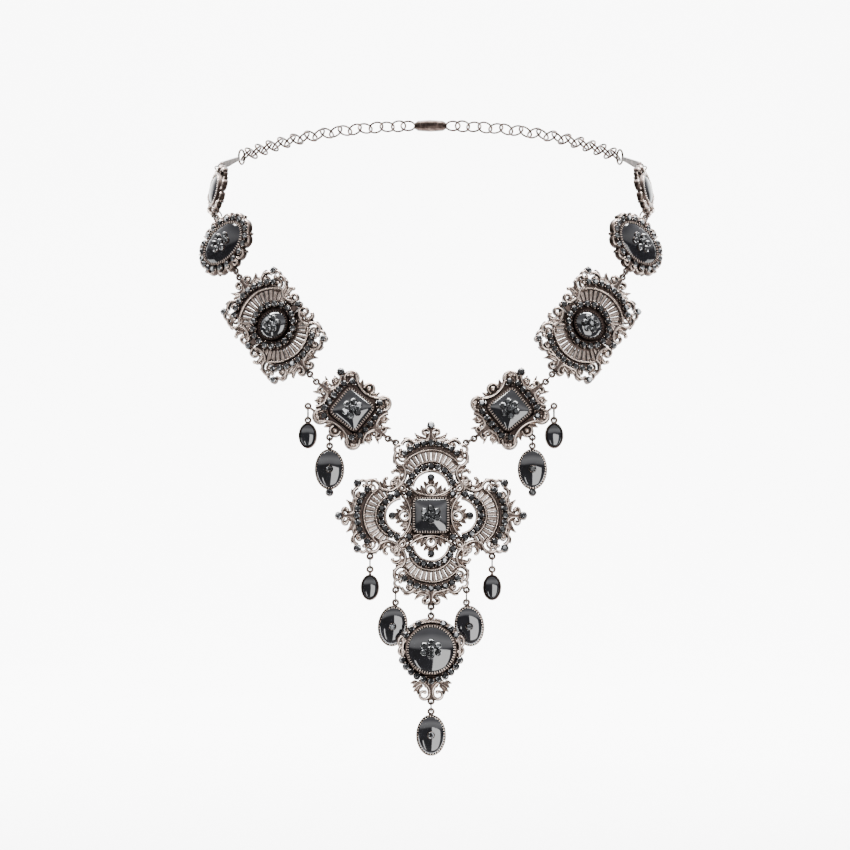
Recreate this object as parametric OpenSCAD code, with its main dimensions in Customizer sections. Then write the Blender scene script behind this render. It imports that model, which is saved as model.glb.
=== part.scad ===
// Cross pendant necklace of pierced castings, black cabochons and small faceted stones.
// Millimetres. +Z is up, the face looks along -Y, and the origin is the middle of the back chain.
// The necklace has the form that it takes round a neck. The left half is mirrored to the right.

/* [Castings] */
// Thickness of the pierced base of a casting
base_t = 1.1; // [0.9:0.1:1.5]
// Height of the bands above the base
relief_h = 0.8; // [0.5:0.1:1.2]
// Height of a bezel above the base
bezel_h = 1.4; // [1.0:0.1:2.0]
// Thickness of a bezel's wall
bezel_w = 0.7; // [0.5:0.05:0.9]
// Extra metal on each side of a band or leaf
base_lip = 0.14; // [0.1:0.02:0.2]

/* [Faceted stones] */
// Width of a small faceted stone
gem_d = 1.9; // [1.6:0.1:2.0]
// Outer width of the cup that holds a small stone
cup_d = 2.55; // [2.4:0.05:2.7]
// Height of a small stone
gem_h = 0.9; // [0.7:0.1:1.1]
// Gap between a stone and its metal
seat_gap = 0.1; // [0.06:0.02:0.14]

/* [Cross] */
// Height of the fan that fills each arm, from its hub to its beaded edge
fan_r = 11.6; // [11.4:0.1:11.8]
// Number of slats in a fan
slats = 14; // [12:2:16]
// Part of a slat's pitch that is metal
slat_fill = 0.8; // [0.6:0.02:0.84]
// Half width of the square centre stone
cross_stone = 5.9; // [5.6:0.1:6.0]

/* [Cabochons] */
// Radius of the round pendant's stone
round_stone = 8.0; // [7.6:0.1:8.1]
// Half width of a square link's stone
square_stone = 5.5; // [5.2:0.1:5.6]
// Half width of an oval link's stone, across and along the chain
oval_stone = [9.0, 6.5];
// Half width of a fan link's stone, across and along the chain
fan_stone = [5.0, 4.5];
// Half width of a small link's stone, across and along the chain
small_stone = [4.6, 6.2];
// Half width and half height of a large drop's stone
large_drop = [4.4, 6.3];
// Half width and half height of a small drop's stone
small_drop = [2.5, 3.75];
// Height of a large cabochon's dome
dome_h = 2.6; // [2.0:0.1:3.2]

/* [Findings] */
// Radius of an eyelet, to the middle of its wire
eye_r = 0.9; // [0.85:0.01:0.95]
// Radius of an eyelet's wire
eye_wire = 0.3; // [0.25:0.01:0.32]
// Radius of a jump ring's wire
ring_wire = 0.27; // [0.22:0.01:0.3]
// Number of links in one strand of the back chain
chain_links = 22; // [20:1:24]
// Radius of the chain's wire
chain_wire = 0.36; // [0.3:0.02:0.4]

/* [Hidden] */

metal = "#6e6663";
jet = "#141416";

// Longest step along a curved edge, and the largest turn in one step
seg = 2.3;
seg_turn = 50;
eye_z = base_t / 2 + 0.1;

// Where each link sits: name, centre x, y, z, then its swing, lean and spin in degrees
PLACES = [
    ["cross", 0, -135, -142.1, 0, -12, 0],
    ["round", 0, -144, -187.2, 0, -9, 0],
    ["square", -27, -128.5, -106, 3, -10, 51],
    ["fan", -53.5, -119.5, -77, -20, -11, 40],
    ["oval", -70.6, -103.8, -48.5, -42, -14, 36],
    ["small", -74, -87.7, -29, -72, -15, 42]
];
// What each drop hangs from: name, link, eyelet x, y on it, length of the hang,
// then the drop's swing, lean and spin, and the height of its own eyelet
HANGS = [
    ["drop_tip", "round", 0, -17.3, 3.4, 0, -3, 0, 8.0],
    ["drop_inner", "cross", -12, -25.5, 4.2, 0, 3, -7, 8.0],
    ["drop_arm", "cross", -20.7, -13.9, 4.4, 0, -4, 0, 6.15],
    ["drop_square", "square", -12.2, 0, 2.9, 0, -4, 0, 8.0],
    ["drop_side", "square", -8.4, 12.5, 4.8, -4, -4, 0, 5.3]
];

function link_row(name) = PLACES[search([name], PLACES, 1, 0)[0]];
function hang_row(name) = HANGS[search([name], HANGS, 1, 0)[0]];
function place_drop(h) =
    let (
        pose = [h[0], 0, 0, 0, h[5], h[6], h[7]],
        hook = at(h[1], [h[2], h[3], eye_z]) - [0, 0, h[4]],
        c = hook - facing(pose) * [0, h[8], eye_z]
    )
    [h[0], c[0], c[1], c[2], h[5], h[6], h[7]];
function row(name) = search([name], PLACES, 1, 0)[0] == [] ? place_drop(hang_row(name)) : link_row(name);
function turn_x(a) = [[1, 0, 0], [0, cos(a), -sin(a)], [0, sin(a), cos(a)]];
function turn_z(a) = [[cos(a), -sin(a), 0], [sin(a), cos(a), 0], [0, 0, 1]];
function turn_2d(p, a) = [p[0] * cos(a) - p[1] * sin(a), p[0] * sin(a) + p[1] * cos(a)];
function facing(p) = turn_z(p[4]) * turn_x(p[5] + 90) * turn_z(p[6]);
// World place of a point that is given in the frame of one link or drop
function at(name, v) = let (p = row(name)) [p[1], p[2], p[3]] + facing(p) * v;
function face_of(name) = facing(row(name)) * [0, 0, 1];
function unit(v) = v / norm(v);
function flip(v) = len(v) == 2 ? [-v[0], v[1]] : [-v[0], v[1], v[2]];

module put(name) {
    p = row(name);
    m = facing(p);
    multmatrix([
        [m[0][0], m[0][1], m[0][2], p[1]],
        [m[1][0], m[1][1], m[1][2], p[2]],
        [m[2][0], m[2][1], m[2][2], p[3]],
        [0, 0, 0, 1]
    ]) children();
}

module right_side() {
    mirror([1, 0, 0]) children();
}

// A half and its mirror image
module both() {
    children();
    mirror([1, 0, 0]) children();
}

module both_ends() {
    children();
    rotate(180) children();
}

// A band follows a spiral. Columns: centre x, y, first and last radius, first and last angle,
// first and last width
function band_pt(b, t, side) =
    let (
        w = b[6] + (b[7] - b[6]) * t,
        r = b[2] + (b[3] - b[2]) * t + side * w / 2,
        a = b[4] + (b[5] - b[4]) * t
    )
    [b[0] + r * cos(a), b[1] + r * sin(a)];

module band(b) {
    sweep_len = abs(b[5] - b[4]) * PI / 180 * (b[2] + b[3]) / 2;
    n = max(ceil(abs(b[5] - b[4]) / seg_turn), ceil(sweep_len / seg));
    polygon(concat(
        [for (i = [0:n]) band_pt(b, i / n, 1)],
        [for (i = [n:-1:0]) band_pt(b, i / n, -1)]
    ));
}

// A leaf runs from its root to its tip. Columns: root x, y, tip x, y, width, bend to its left
function leaf_pt(f, t, side) =
    let (
        d = [f[2] - f[0], f[3] - f[1]],
        across = [-d[1], d[0]] / norm(d),
        half = f[4] / 2 * (t < 0.35 ? 0.55 + 0.45 * sin(t / 0.35 * 90) : cos((t - 0.35) / 0.65 * 84))
    )
    [f[0], f[1]] + d * t + across * (f[5] * sin(180 * t) + side * half);

module leaf(f) {
    n = 3;
    polygon(concat(
        [for (i = [0:n]) leaf_pt(f, i / n, 1)],
        [for (i = [n:-1:0]) leaf_pt(f, i / n, -1)]
    ));
}

// Round pads under the small stones, a little wider than the stones
module cups(points, d = cup_d) {
    for (c = points) translate([c[0], c[1], 0.04]) cylinder(h = base_t + relief_h, d = d);
}

function arc_row(c, r, a0, a1, n) = [for (i = [0:n - 1])
    let (a = a0 + (a1 - a0) * i / (n - 1)) [c[0] + r * cos(a), c[1] + r * sin(a)]];
function ellipse_row(a, b, a0, n) = [for (i = [0:n - 1])
    let (t = a0 + 360 * i / n) [a * cos(t), b * sin(t)]];

// Half of an arm, at x > 0, from the middle of the cross outwards along +y.
// The same motif makes both ends of a fan link.
fan_hub = [0, 11.2];
arc_half = 52;
fan_half = 69;
slat_in = 7.3;
slat_reach = 9.3;
moon_hub = [0, 9.4];
row_hub = [0, 12.2];
ARM_BANDS = [
    [0, 11.2, fan_r, fan_r, 90 - arc_half, 92, 0.95, 0.95],
    [0, 11.2, 7.6, 7.6, 20, 93, 0.8, 0.8],
    [0, 12.2, 14.1, 14.1, 66, 92, 0.9, 0.9],
    [7.6, 24.2, 2.0, 2.4, 150, 10, 0.9, 1.0],
    [11.1, 22.9, 1.7, 0.7, 120, -170, 0.9, 0.6],
    [9.6, 20.2, 2.9, 2.9, 45, -95, 0.9, 0.9],
    [12.6, 14.6, 3.9, 3.9, 128, 232, 1.0, 1.0],
    [11.2, 12.7, 1.9, 0.7, 220, 480, 1.0, 0.7],
    [2.6, 28.7, 3.1, 2.1, -45, -180, 0.9, 0.9],
    [1.95, 28.95, 1.45, 0.55, -190, -440, 0.9, 0.7]
];
// Only on the cross: the opening over each side of the centre stone, the diagonal hearts, the saddle
// along the stone and the ring on it
CROSS_BANDS = [
    [0, 9.4, 6.25, 6.25, 8, 93, 0.7, 0.7],
    [9.3, 10.2, 1.5, 1.2, -110, 110, 0.8, 0.7],
    [0, 17, 10.1, 10.1, -93, -45, 0.8, 0.8],
    [0, 9.1, 1.7, 1.7, -95, 95, 0.8, 0.8]
];
ARM_LEAVES = [
    [9.0, 15.0, 13.3, 15.7, 1.3, 0.35],
    [9.3, 16.2, 12.1, 17.2, 1.1, 0.2],
    [1.0, 26.7, 5.6, 28.8, 1.7, -0.9],
    [2.6, 26.3, 5.9, 26.7, 1.2, -0.2]
];
CROSS_LEAVES = [
    [2.7, 6.9, 4.7, 8.9, 1.1, -0.3],
    [2.5, 6.9, 3.5, 10.7, 1.4, 0.2]
];
inner_gems = arc_row(moon_hub, 7.7, 90, 16, 5);
outer_gems = arc_row(row_hub, 13.0, 90, 46.5, 5);
moon_gem = [0, 13.2];
corner_gem = [11.3, 25.0];
crest_gem = [0, 31.3];
heart_gem = [7.4, 7.4];
arm_eye = [12, 25.5];
low_eye = [13.9, 20.7];

module plate(lip, z0, z1) {
    translate([0, 0, z0]) linear_extrude(z1 - z0) offset(delta = lip) children();
}

// Pierced work: bands stand up in relief over the leaves between them. A child is as high as a band.
module wrought(bands, leaves) {
    plate(base_lip, 0, base_t + relief_h) {
        for (b = bands) band(b);
        children();
    }
    plate(base_lip, 0, base_t) for (f = leaves) leaf(f);
}

module crest_neck() {
    polygon([[-0.3, 26.2], [0.9, 26.2], [0.5, 28.2], [0.5, 30.4], [-0.3, 30.4]]);
}

// Slats of half a fan run from the inner row of stones to the beaded edge or the side scroll.
module slat_half() {
    pitch = 2 * fan_half / slats;
    w = tan(pitch * slat_fill / 2);
    for (i = [0:slats / 2 - 1]) {
        turn = pitch * (i + 0.5);
        out = min(fan_r, slat_reach / sin(turn));
        translate(fan_hub) rotate(-turn) translate([0, 0, 0.1]) linear_extrude(base_t - 0.2)
            polygon([[-w * slat_in, slat_in], [-w * out, out], [w * out, out], [w * slat_in, slat_in]]);
    }
}

// Plain metal under the stones, between the beaded edge and the outer row
module webs() {
    plate(0, 0.05, base_t - 0.05) {
        band([0, 11.7, 12.4, 12.4, 42, 93, 2.0, 2.0]);
        band([0, 10.2, 7.65, 7.65, 20, 93, 1.5, 1.5]);
    }
}

module eyelet(e) {
    translate([e[0], e[1], eye_z]) rotate_extrude($fn = 32) translate([eye_r, 0]) circle(eye_wire, $fn = 16);
}

module cushion(half, bulge) {
    n = 4;
    r = (half * half + bulge * bulge) / (2 * bulge);
    a = asin(half / r);
    polygon([for (q = [0:3]) for (i = [0:n - 1])
        let (t = a - 2 * a * i / n) turn_2d([(half + bulge - r) + r * cos(t), r * sin(t)], -90 * q)]);
}

module oval(half, n = 24) {
    polygon([for (i = [0:n - 1]) [half[0] * cos(360 * i / n), half[1] * sin(360 * i / n)]]);
}

// The floor under a main stone and the bezel round it. The child is the stone's outline.
module bezel(height = bezel_h, wall = bezel_w) {
    plate(bezel_w + 0.25, 0.05, base_t - 0.05) children();
    translate([0, 0, base_t - 0.2]) linear_extrude(height + 0.2) difference() {
        offset(delta = wall) children();
        offset(delta = seat_gap) children();
    }
}

// Dome over a flat outline, in shrinking layers
module dome(h) {
    layers = [[0, 1], [0.3, 1], [0.68, 0.78], [0.96, 0.38]];
    hull() for (k = layers) translate([0, 0, k[0] * h]) linear_extrude(0.03 * h) scale(k[1]) children();
}

module set_stone(h) {
    color(jet) translate([0, 0, base_t + 0.05]) dome(h) children();
}

// Small stones: a flat table, eight crown facets and a flat back
module gems(points) {
    color(jet) for (c = points) translate([c[0], c[1], base_t + relief_h + 0.04 + seat_gap])
        cylinder(h = gem_h, d1 = gem_d, d2 = gem_d * 0.55, $fn = 8);
}

// Cross
cross_eyes = [arm_eye, flip(arm_eye), [arm_eye[0], -arm_eye[1]], -arm_eye,
    [low_eye[1], -low_eye[0]], [-low_eye[1], -low_eye[0]], [0, -crest_gem[1]]];

module cross_arm() {
    both() {
        wrought(concat(ARM_BANDS, CROSS_BANDS), concat(ARM_LEAVES, CROSS_LEAVES)) {
            crest_neck();
            translate([-0.3, 10.5]) square([0.7, 2.2]);
        }
        webs();
        slat_half();
    }
}

module cross_frame() put("cross") color(metal) {
    for (a = [0:90:270]) rotate(a) {
        cross_arm();
        plate(0, 0.08, base_t + 0.3) polygon([[5.9, 7.1], [7.1, 5.9], [10.1, 9.1], [9.1, 10.1]]);
    }
    cups(cross_gem_points);
    bezel(bezel_h, 0.5) cushion(cross_stone, 0.2);
    for (e = cross_eyes) eyelet(e);
}

module cross_stone() put("cross") set_stone(dome_h) cushion(cross_stone, 0.2);

function both_of(points) = concat(points, [for (p = points) if (abs(p[0]) > 0.1) [-p[0], p[1]]]);
function turned(points, a) = [for (p = points) turn_2d(p, a)];
arm_gems = both_of(concat(inner_gems, outer_gems, [moon_gem]));
cross_gem_points = concat(
    [for (a = [0:90:270]) each turned(concat(arm_gems, [heart_gem]), a)],
    [for (a = [90, -90]) each turned(both_of([corner_gem, crest_gem]), a)], [crest_gem]
);

module cross_gems() put("cross") gems(cross_gem_points);

// Fan link: the outer part of two arms, back to back
fan_shift = 9.3;
fan_ring = ellipse_row(7.5, 7.5, 90, 18);
fan_side_gem = [11.3, 0];
fan_eyes = [[0, crest_gem[1] - fan_shift + 0.4], [0, fan_shift - crest_gem[1] - 0.4]];
fan_end_gems = [for (g = both_of(concat(outer_gems, [corner_gem]))) g - [0, fan_shift]];
fan_gem_points = concat(fan_ring, fan_end_gems, turned(fan_end_gems, 180), both_of([fan_side_gem]));

module fan_quarter() {
    translate([0, -fan_shift]) {
        wrought(ARM_BANDS, ARM_LEAVES) crest_neck();
        webs();
        slat_half();
    }
}

module fan_frame() put("fan") color(metal) {
    both_ends() both() fan_quarter();
    both() plate(0, 0.02, base_t + 0.4) polygon([[8.2, -1.2], [11.2, -0.6], [11.2, 0.6], [8.2, 1.2]]);
    plate(0, 0.15, base_t - 0.15) difference() {
        circle(8.9, $fn = 36);
        circle(5.5, $fn = 24);
    }
    cups(fan_gem_points);
    bezel(1.2) oval(fan_stone);
    for (e = fan_eyes) eyelet(e);
}

module fan_stone() put("fan") set_stone(dome_h) oval(fan_stone);

module fan_gems() put("fan") gems(fan_gem_points);

// Square link: half of a side, at x > 0, looking along +y. The sides that the chain pulls have a row
// of stones and a tall crest, the two others a round knob.
SQUARE_BANDS = [
    [3.6, 14.0, 4.9, 4.9, -140, -48, 0.9, 0.9],
    [8.4, 7.0, 2.3, 2.3, -80, 140, 1.0, 1.0],
    [2.5, 11.9, 2.6, 1.5, -75, -190, 0.9, 0.9],
    [1.5, 12.4, 1.3, 0.55, -180, -430, 0.9, 0.7]
];
SQUARE_LEAVES = [
    [3.4, 9.2, 5.5, 12.1, 1.3, -0.3],
    [3.2, 9.4, 3.9, 12.0, 1.0, 0.2]
];
KNOB_BANDS = [
    [0, 15.8, 8.5, 8.5, -93, -41, 0.9, 0.9],
    [0, 9.3, 1.7, 1.7, -30, 95, 0.9, 0.9]
];
KNOB_LEAVES = [
    [2.0, 8.2, 3.7, 10.6, 1.3, -0.2],
    [2.8, 8.0, 5.0, 9.6, 1.1, -0.2]
];
square_row = [[0, 7.9], [2.65, 7.85], [5.3, 7.75], [7.7, 6.0]];
square_ball = [7.8, 11.2];
square_gem_points = concat([square_ball], [for (a = [0, 180]) each turned(both_of(square_row), a)]);
square_eyes = [[0, 15.6], [0, -15.8], [-12.2, 0], [-8.4, 12.5]];

module square_side() {
    wrought(SQUARE_BANDS, SQUARE_LEAVES) polygon([[-0.3, 9.2], [0.8, 9.2], [0.45, 14.7], [-0.3, 14.7]]);
    plate(0, 0.05, base_t - 0.05) polygon([[-0.3, 6.3], [6.2, 6.3], [6.2, 8.0], [3.6, 9.2], [-0.3, 9.6]]);
    plate(0, 0.1, base_t - 0.15) translate([8.4, 7.0]) circle(2.4, $fn = 24);
}

module knob_side() {
    wrought(KNOB_BANDS, KNOB_LEAVES);
    plate(0, 0.05, base_t - 0.05) polygon([[-0.3, 6.3], [5.2, 6.3], [4.4, 8.0], [2.2, 8.9], [-0.3, 9.8]]);
    plate(0, 0.1, base_t - 0.15) translate([0, 9.3]) circle(1.8, $fn = 24);
}

module square_frame() put("square") color(metal) {
    both_ends() both() square_side();
    rotate(90) both_ends() both() knob_side();
    plate(base_lip, 0, base_t) both() polygon([[7.8, 9.0], [8.8, 9.0], [8.7, 11.4], [8.1, 11.4]]);
    cups(square_gem_points);
    bezel() cushion(square_stone, 0.3);
    for (e = square_eyes) eyelet(e);
}

module square_stone() put("square") set_stone(dome_h) cushion(square_stone, 0.3);

// Oval link: a quarter, at x > 0 and y > 0
OVAL_BANDS = [
    [8.4, 0, 3.5, 3.5, -4, 66, 0.9, 0.9],
    [8.3, 4.8, 1.9, 1.9, -20, 150, 0.9, 0.9],
    [4.4, 7.6, 1.8, 1.8, -10, 165, 0.9, 0.9],
    [1.75, 9.4, 1.4, 0.55, -130, -430, 0.9, 0.7]
];
OVAL_LEAVES = [
    [10.0, 2.8, 11.8, 4.0, 1.2, 0.2],
    [5.8, 7.8, 7.2, 8.9, 1.2, -0.2]
];
oval_gem_points = ellipse_row(10.7, 8.2, 9, 20);
oval_eyes = [[0, 12.2], [0, -12.2]];

module oval_quarter() {
    wrought(OVAL_BANDS, OVAL_LEAVES)
        polygon([[-0.3, 8.2], [1.0, 8.2], [0.5, 9.6], [0.5, 10.6], [-0.3, 10.6]]);
    plate(base_lip, 0, base_t) polygon([[-0.3, 10.4], [0.5, 10.4], [0.5, 11.15], [-0.3, 11.15]]);
}

module oval_frame() put("oval") color(metal) {
    both() {
        oval_quarter();
        mirror([0, 1, 0]) oval_quarter();
    }
    plate(0, 0.15, base_t - 0.15) oval([11.2, 8.7], 32);
    cups(oval_gem_points);
    bezel() oval(oval_stone, 28);
    for (e = oval_eyes) eyelet(e);
}

module oval_stone() put("oval") set_stone(dome_h) oval(oval_stone, 28);

// Small link: a quarter, at x > 0 and y > 0
SMALL_BANDS = [
    [6.0, 3.1, 1.5, 1.5, -40, 150, 0.8, 0.8],
    [3.4, 6.8, 1.6, 1.6, -20, 150, 0.8, 0.8],
    [1.5, 8.4, 1.2, 0.5, -130, -420, 0.8, 0.6]
];
SMALL_LEAVES = [
    [5.6, 0.2, 8.2, 1.2, 1.2, 0.1],
    [2.2, 8.0, 4.2, 9.8, 1.1, -0.3]
];
small_eyes = [[0, 10.2], [0, -10.2]];

module small_quarter() {
    wrought(SMALL_BANDS, SMALL_LEAVES)
        polygon([[-0.3, 7.0], [0.9, 7.0], [0.5, 8.4], [0.5, 9.4], [-0.3, 9.4]]);
}

module small_frame() put("small") color(metal) {
    both() {
        small_quarter();
        mirror([0, 1, 0]) small_quarter();
    }
    bezel() oval(small_stone);
    for (e = small_eyes) eyelet(e);
}

module small_stone() put("small") set_stone(0.8 * dome_h) oval(small_stone);

// Round pendant: half of its border and of the scrolls under it, at x > 0
ROUND_BANDS = [
    [0, 0, 9.7, 9.7, -62, 92, 1.3, 1.3],
    [9.1, 3.0, 2.0, 1.8, -60, 122, 0.9, 0.9],
    [9.6, -0.5, 1.6, 0.6, 90, -180, 0.9, 0.6],
    [2.5, -14.9, 2.1, 0.8, 150, 480, 1.0, 0.7],
    [4.6, -14.6, 4.1, 4.1, 95, 185, 0.9, 0.9],
    [0, 0, 10.5, 10.5, 40, 84, 0.8, 0.8]
];
ROUND_LEAVES = [
    [2.9, -11.7, 5.9, -14.1, 1.5, 0.2],
    [3.4, -10.9, 6.3, -12.7, 1.5, 0.2]
];
round_gem_points = both_of([[6.7, 7.2], [8.5, 5.0], [9.7, -3.4], [8.4, -5.6], [6.7, -7.4],
    [4.8, -8.8], [2.5, -10.0], [0, -10.7]]);
round_top_points = both_of([[4.2, 8.9]]);
round_eyes = [[0, 11.7], [0, -17.3]];

module round_frame() put("round") color(metal) {
    both() {
        wrought(ROUND_BANDS, ROUND_LEAVES)
            polygon([[-0.3, -9.4], [2.6, -9.6], [2.4, -11.4], [0.6, -12.4], [0.5, -16.4], [-0.3, -16.4]]);
        plate(0, 0.05, base_t - 0.05) polygon([[-0.2, 9.6], [1.2, 9.6], [0.9, 11.2], [-0.2, 11.2]]);
    }
    plate(0, 0.1, base_t - 0.1) circle(9.5, $fn = 40);
    cups(concat(round_gem_points, round_top_points));
    bezel(1.6) circle(round_stone, $fn = 40);
    for (e = round_eyes) eyelet(e);
}

module round_stone() put("round") set_stone(dome_h + 0.3) circle(round_stone, $fn = 32);

module round_gems() put("round") gems(round_gem_points);

// A drop: its bezel and floor, an eyelet on a short neck, and for one pair a cup below
module drop(name, half, ball = false) put(name) color(metal) {
    eye_y = hang_row(name)[8];
    plate(0, 0, base_t) {
        offset(delta = bezel_w) oval(half);
        translate([-0.55, half[1]]) square([1.1, eye_y - half[1] - eye_r]);
        if (ball) translate([0, -half[1] - 1.6]) circle(1.45, $fn = 16);
    }
    translate([0, 0, base_t - 0.2]) linear_extrude(1.0) difference() {
        offset(delta = bezel_w - 0.05) oval(half);
        offset(delta = seat_gap) oval(half);
    }
    if (ball) translate([0, -half[1] - 1.6, base_t - 0.1]) cylinder(h = 1.0, r = 1.3);
    eyelet([0, eye_y]);
}

module drop_stone(name, half, h) put(name) set_stone(h) oval(half, 20);

// A jump ring passes through two eyelets. It lies in the plane of their centres and a face normal.
module ring_between(a, b, normal) {
    d = unit(b - a);
    side = unit(cross(d, normal));
    up = cross(side, d);
    c = (a + b) / 2;
    color(metal) multmatrix([
        [d[0], up[0], side[0], c[0]],
        [d[1], up[1], side[1], c[1]],
        [d[2], up[2], side[2], c[2]],
        [0, 0, 0, 1]
    ]) rotate_extrude($fn = 32) translate([norm(b - a) / 2, 0]) circle(ring_wire, $fn = 16);
}

// The back chain follows a curve from the small link to the clasp: four control points
chain_start = [-74.5, -78.3, -19.9];
chain_bend_out = [-62, -46, -11.5];
chain_bend_in = [-46, 3, -1];
clasp_half = 6;
clasp_y = 2.3;
chain_end = [-clasp_half - 1.6, clasp_y, 0];
function curve(t) = pow(1 - t, 3) * chain_start + 3 * pow(1 - t, 2) * t * chain_bend_out
    + 3 * (1 - t) * t * t * chain_bend_in + pow(t, 3) * chain_end;
function tangent(t) = unit(curve(t + 0.001) - curve(t - 0.001));
curve_steps = 60;
function run(i) = i == 0 ? 0 : run(i - 1) + norm(curve(i / curve_steps) - curve((i - 1) / curve_steps));
curve_len = run(curve_steps);
bar_len = 20;
link_gap = 0.18;
chain_pitch = (curve_len - bar_len) / chain_links;
chain_r = (chain_pitch + link_gap) / 2 + chain_wire;
// Parameter of the point at a given distance along the curve
function seek(d, i = 0) = run(i + 1) >= d || i + 1 >= curve_steps
    ? (i + (d - run(i)) / (run(i + 1) - run(i))) / curve_steps : seek(d, i + 1);

function eye(name, e) = at(name, [e[0], e[1], eye_z]);
function drop_eye(name) = eye(name, [0, hang_row(name)[8]]);
// Pairs of eyelets on the left side, each with the two links whose faces the ring crosses
left_joins = [
    [eye("cross", flip(arm_eye)), eye("square", square_eyes[1]), "cross", "square"],
    [eye("square", square_eyes[0]), eye("fan", fan_eyes[1]), "square", "fan"],
    [eye("fan", fan_eyes[0]), eye("oval", oval_eyes[1]), "fan", "oval"],
    [eye("oval", oval_eyes[0]), eye("small", small_eyes[1]), "oval", "small"],
    [eye("small", small_eyes[0]), chain_start, "small", "small"],
    [eye("square", square_eyes[2]), drop_eye("drop_square"), "square", "drop_square"],
    [eye("square", square_eyes[3]), drop_eye("drop_side"), "square", "drop_side"],
    [eye("cross", -arm_eye), drop_eye("drop_inner"), "cross", "drop_inner"],
    [eye("cross", [-low_eye[1], -low_eye[0]]), drop_eye("drop_arm"), "cross", "drop_arm"]
];
middle_joins = [
    [eye("cross", [0, -crest_gem[1]]), eye("round", round_eyes[0]), "cross", "round"],
    [eye("round", round_eyes[1]), drop_eye("drop_tip"), "round", "drop_tip"]
];

module jump_rings(joins) {
    for (j = joins) ring_between(j[0], j[1], face_of(j[2]) + face_of(j[3]));
}

module ring_on_curve(d, roll, r, wire) {
    t = seek(d);
    along = tangent(t);
    level = unit(cross([0, 0, 1], along));
    rise = cross(along, level);
    up = level * cos(roll) + rise * sin(roll);
    side = cross(along, up);
    c = curve(t);
    multmatrix([
        [along[0], up[0], side[0], c[0]],
        [along[1], up[1], side[1], c[1]],
        [along[2], up[2], side[2], c[2]],
        [0, 0, 0, 1]
    ]) rotate_extrude($fn = 32) translate([r, 0]) circle(wire, $fn = 16);
}

// First a long tapered bar with an eye at each end, then round links, each turned to the last
module chain() color(metal) {
    bar();
    for (i = [1:chain_links - 1]) ring_on_curve(bar_len + i * chain_pitch, 45 + 90 * (i % 2), chain_r, chain_wire);
}

module bar() {
    a = chain_start;
    b = curve(seek(bar_len));
    along = unit(b - a);
    level = unit(cross([0, 0, 1], along));
    rise = cross(along, level);
    multmatrix([
        [along[0], rise[0], level[0], a[0]],
        [along[1], rise[1], level[1], a[1]],
        [along[2], rise[2], level[2], a[2]],
        [0, 0, 0, 1]
    ]) {
        rotate_extrude($fn = 32) translate([eye_r, 0]) circle(eye_wire, $fn = 16);
        translate([0, 0, -0.5]) linear_extrude(1.0)
            polygon([[eye_r, -0.9], [2.2, -1.4], [norm(b - a) - chain_r, -0.6],
                [norm(b - a) - chain_r, 0.6], [2.2, 1.4], [eye_r, 0.9]]);
        translate([norm(b - a), 0, 0]) rotate_extrude($fn = 32) translate([chain_r, 0]) circle(chain_wire, $fn = 16);
    }
}

// The clasp is a plain barrel with a fixed ring at each end.
module clasp() color(metal) {
    translate([0, clasp_y, 0]) rotate([0, 90, 0]) rotate_extrude($fn = 48) polygon([
        [0, -clasp_half], [1.0, -clasp_half], [1.9, -clasp_half + 1.4], [2.2, 0],
        [1.9, clasp_half - 1.4], [1.0, clasp_half], [0, clasp_half]
    ]);
    both() translate([-clasp_half - chain_r + 0.25, clasp_y, 0]) rotate([45, 0, 0])
        rotate_extrude($fn = 32) translate([chain_r, 0]) circle(chain_wire, $fn = 16);
}

cross_frame();
cross_stone();
cross_gems();
round_frame();
round_stone();
round_gems();
square_frame();  // square_frame_left
right_side() square_frame();  // square_frame_right
square_stone();  // square_stone_left
right_side() square_stone();  // square_stone_right
fan_frame();  // fan_frame_left
right_side() fan_frame();  // fan_frame_right
fan_stone();  // fan_stone_left
right_side() fan_stone();  // fan_stone_right
fan_gems();  // fan_gems_left
right_side() fan_gems();  // fan_gems_right
oval_frame();  // oval_frame_left
right_side() oval_frame();  // oval_frame_right
oval_stone();  // oval_stone_left
right_side() oval_stone();  // oval_stone_right
small_frame();  // small_frame_left
right_side() small_frame();  // small_frame_right
small_stone();  // small_stone_left
right_side() small_stone();  // small_stone_right
drop("drop_tip", large_drop);  // drop_tip
drop_stone("drop_tip", large_drop, 2.2);  // drop_tip_stone
drop("drop_inner", large_drop);  // drop_inner_left
right_side() drop("drop_inner", large_drop);  // drop_inner_right
drop_stone("drop_inner", large_drop, 2.2);  // drop_inner_stone_left
right_side() drop_stone("drop_inner", large_drop, 2.2);  // drop_inner_stone_right
drop("drop_arm", small_drop);  // drop_arm_left
right_side() drop("drop_arm", small_drop);  // drop_arm_right
drop_stone("drop_arm", small_drop, 1.4);  // drop_arm_stone_left
right_side() drop_stone("drop_arm", small_drop, 1.4);  // drop_arm_stone_right
drop("drop_square", large_drop, true);  // drop_square_left
right_side() drop("drop_square", large_drop, true);  // drop_square_right
drop_stone("drop_square", large_drop, 2.2);  // drop_square_stone_left
right_side() drop_stone("drop_square", large_drop, 2.2);  // drop_square_stone_right
drop("drop_side", small_drop);  // drop_side_left
right_side() drop("drop_side", small_drop);  // drop_side_right
drop_stone("drop_side", small_drop, 1.4);  // drop_side_stone_left
right_side() drop_stone("drop_side", small_drop, 1.4);  // drop_side_stone_right
jump_rings(left_joins);  // jump_rings_left
right_side() jump_rings(left_joins);  // jump_rings_right
jump_rings(middle_joins);  // jump_rings_middle
chain();  // chain_left
right_side() chain();  // chain_right
clasp();
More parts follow.
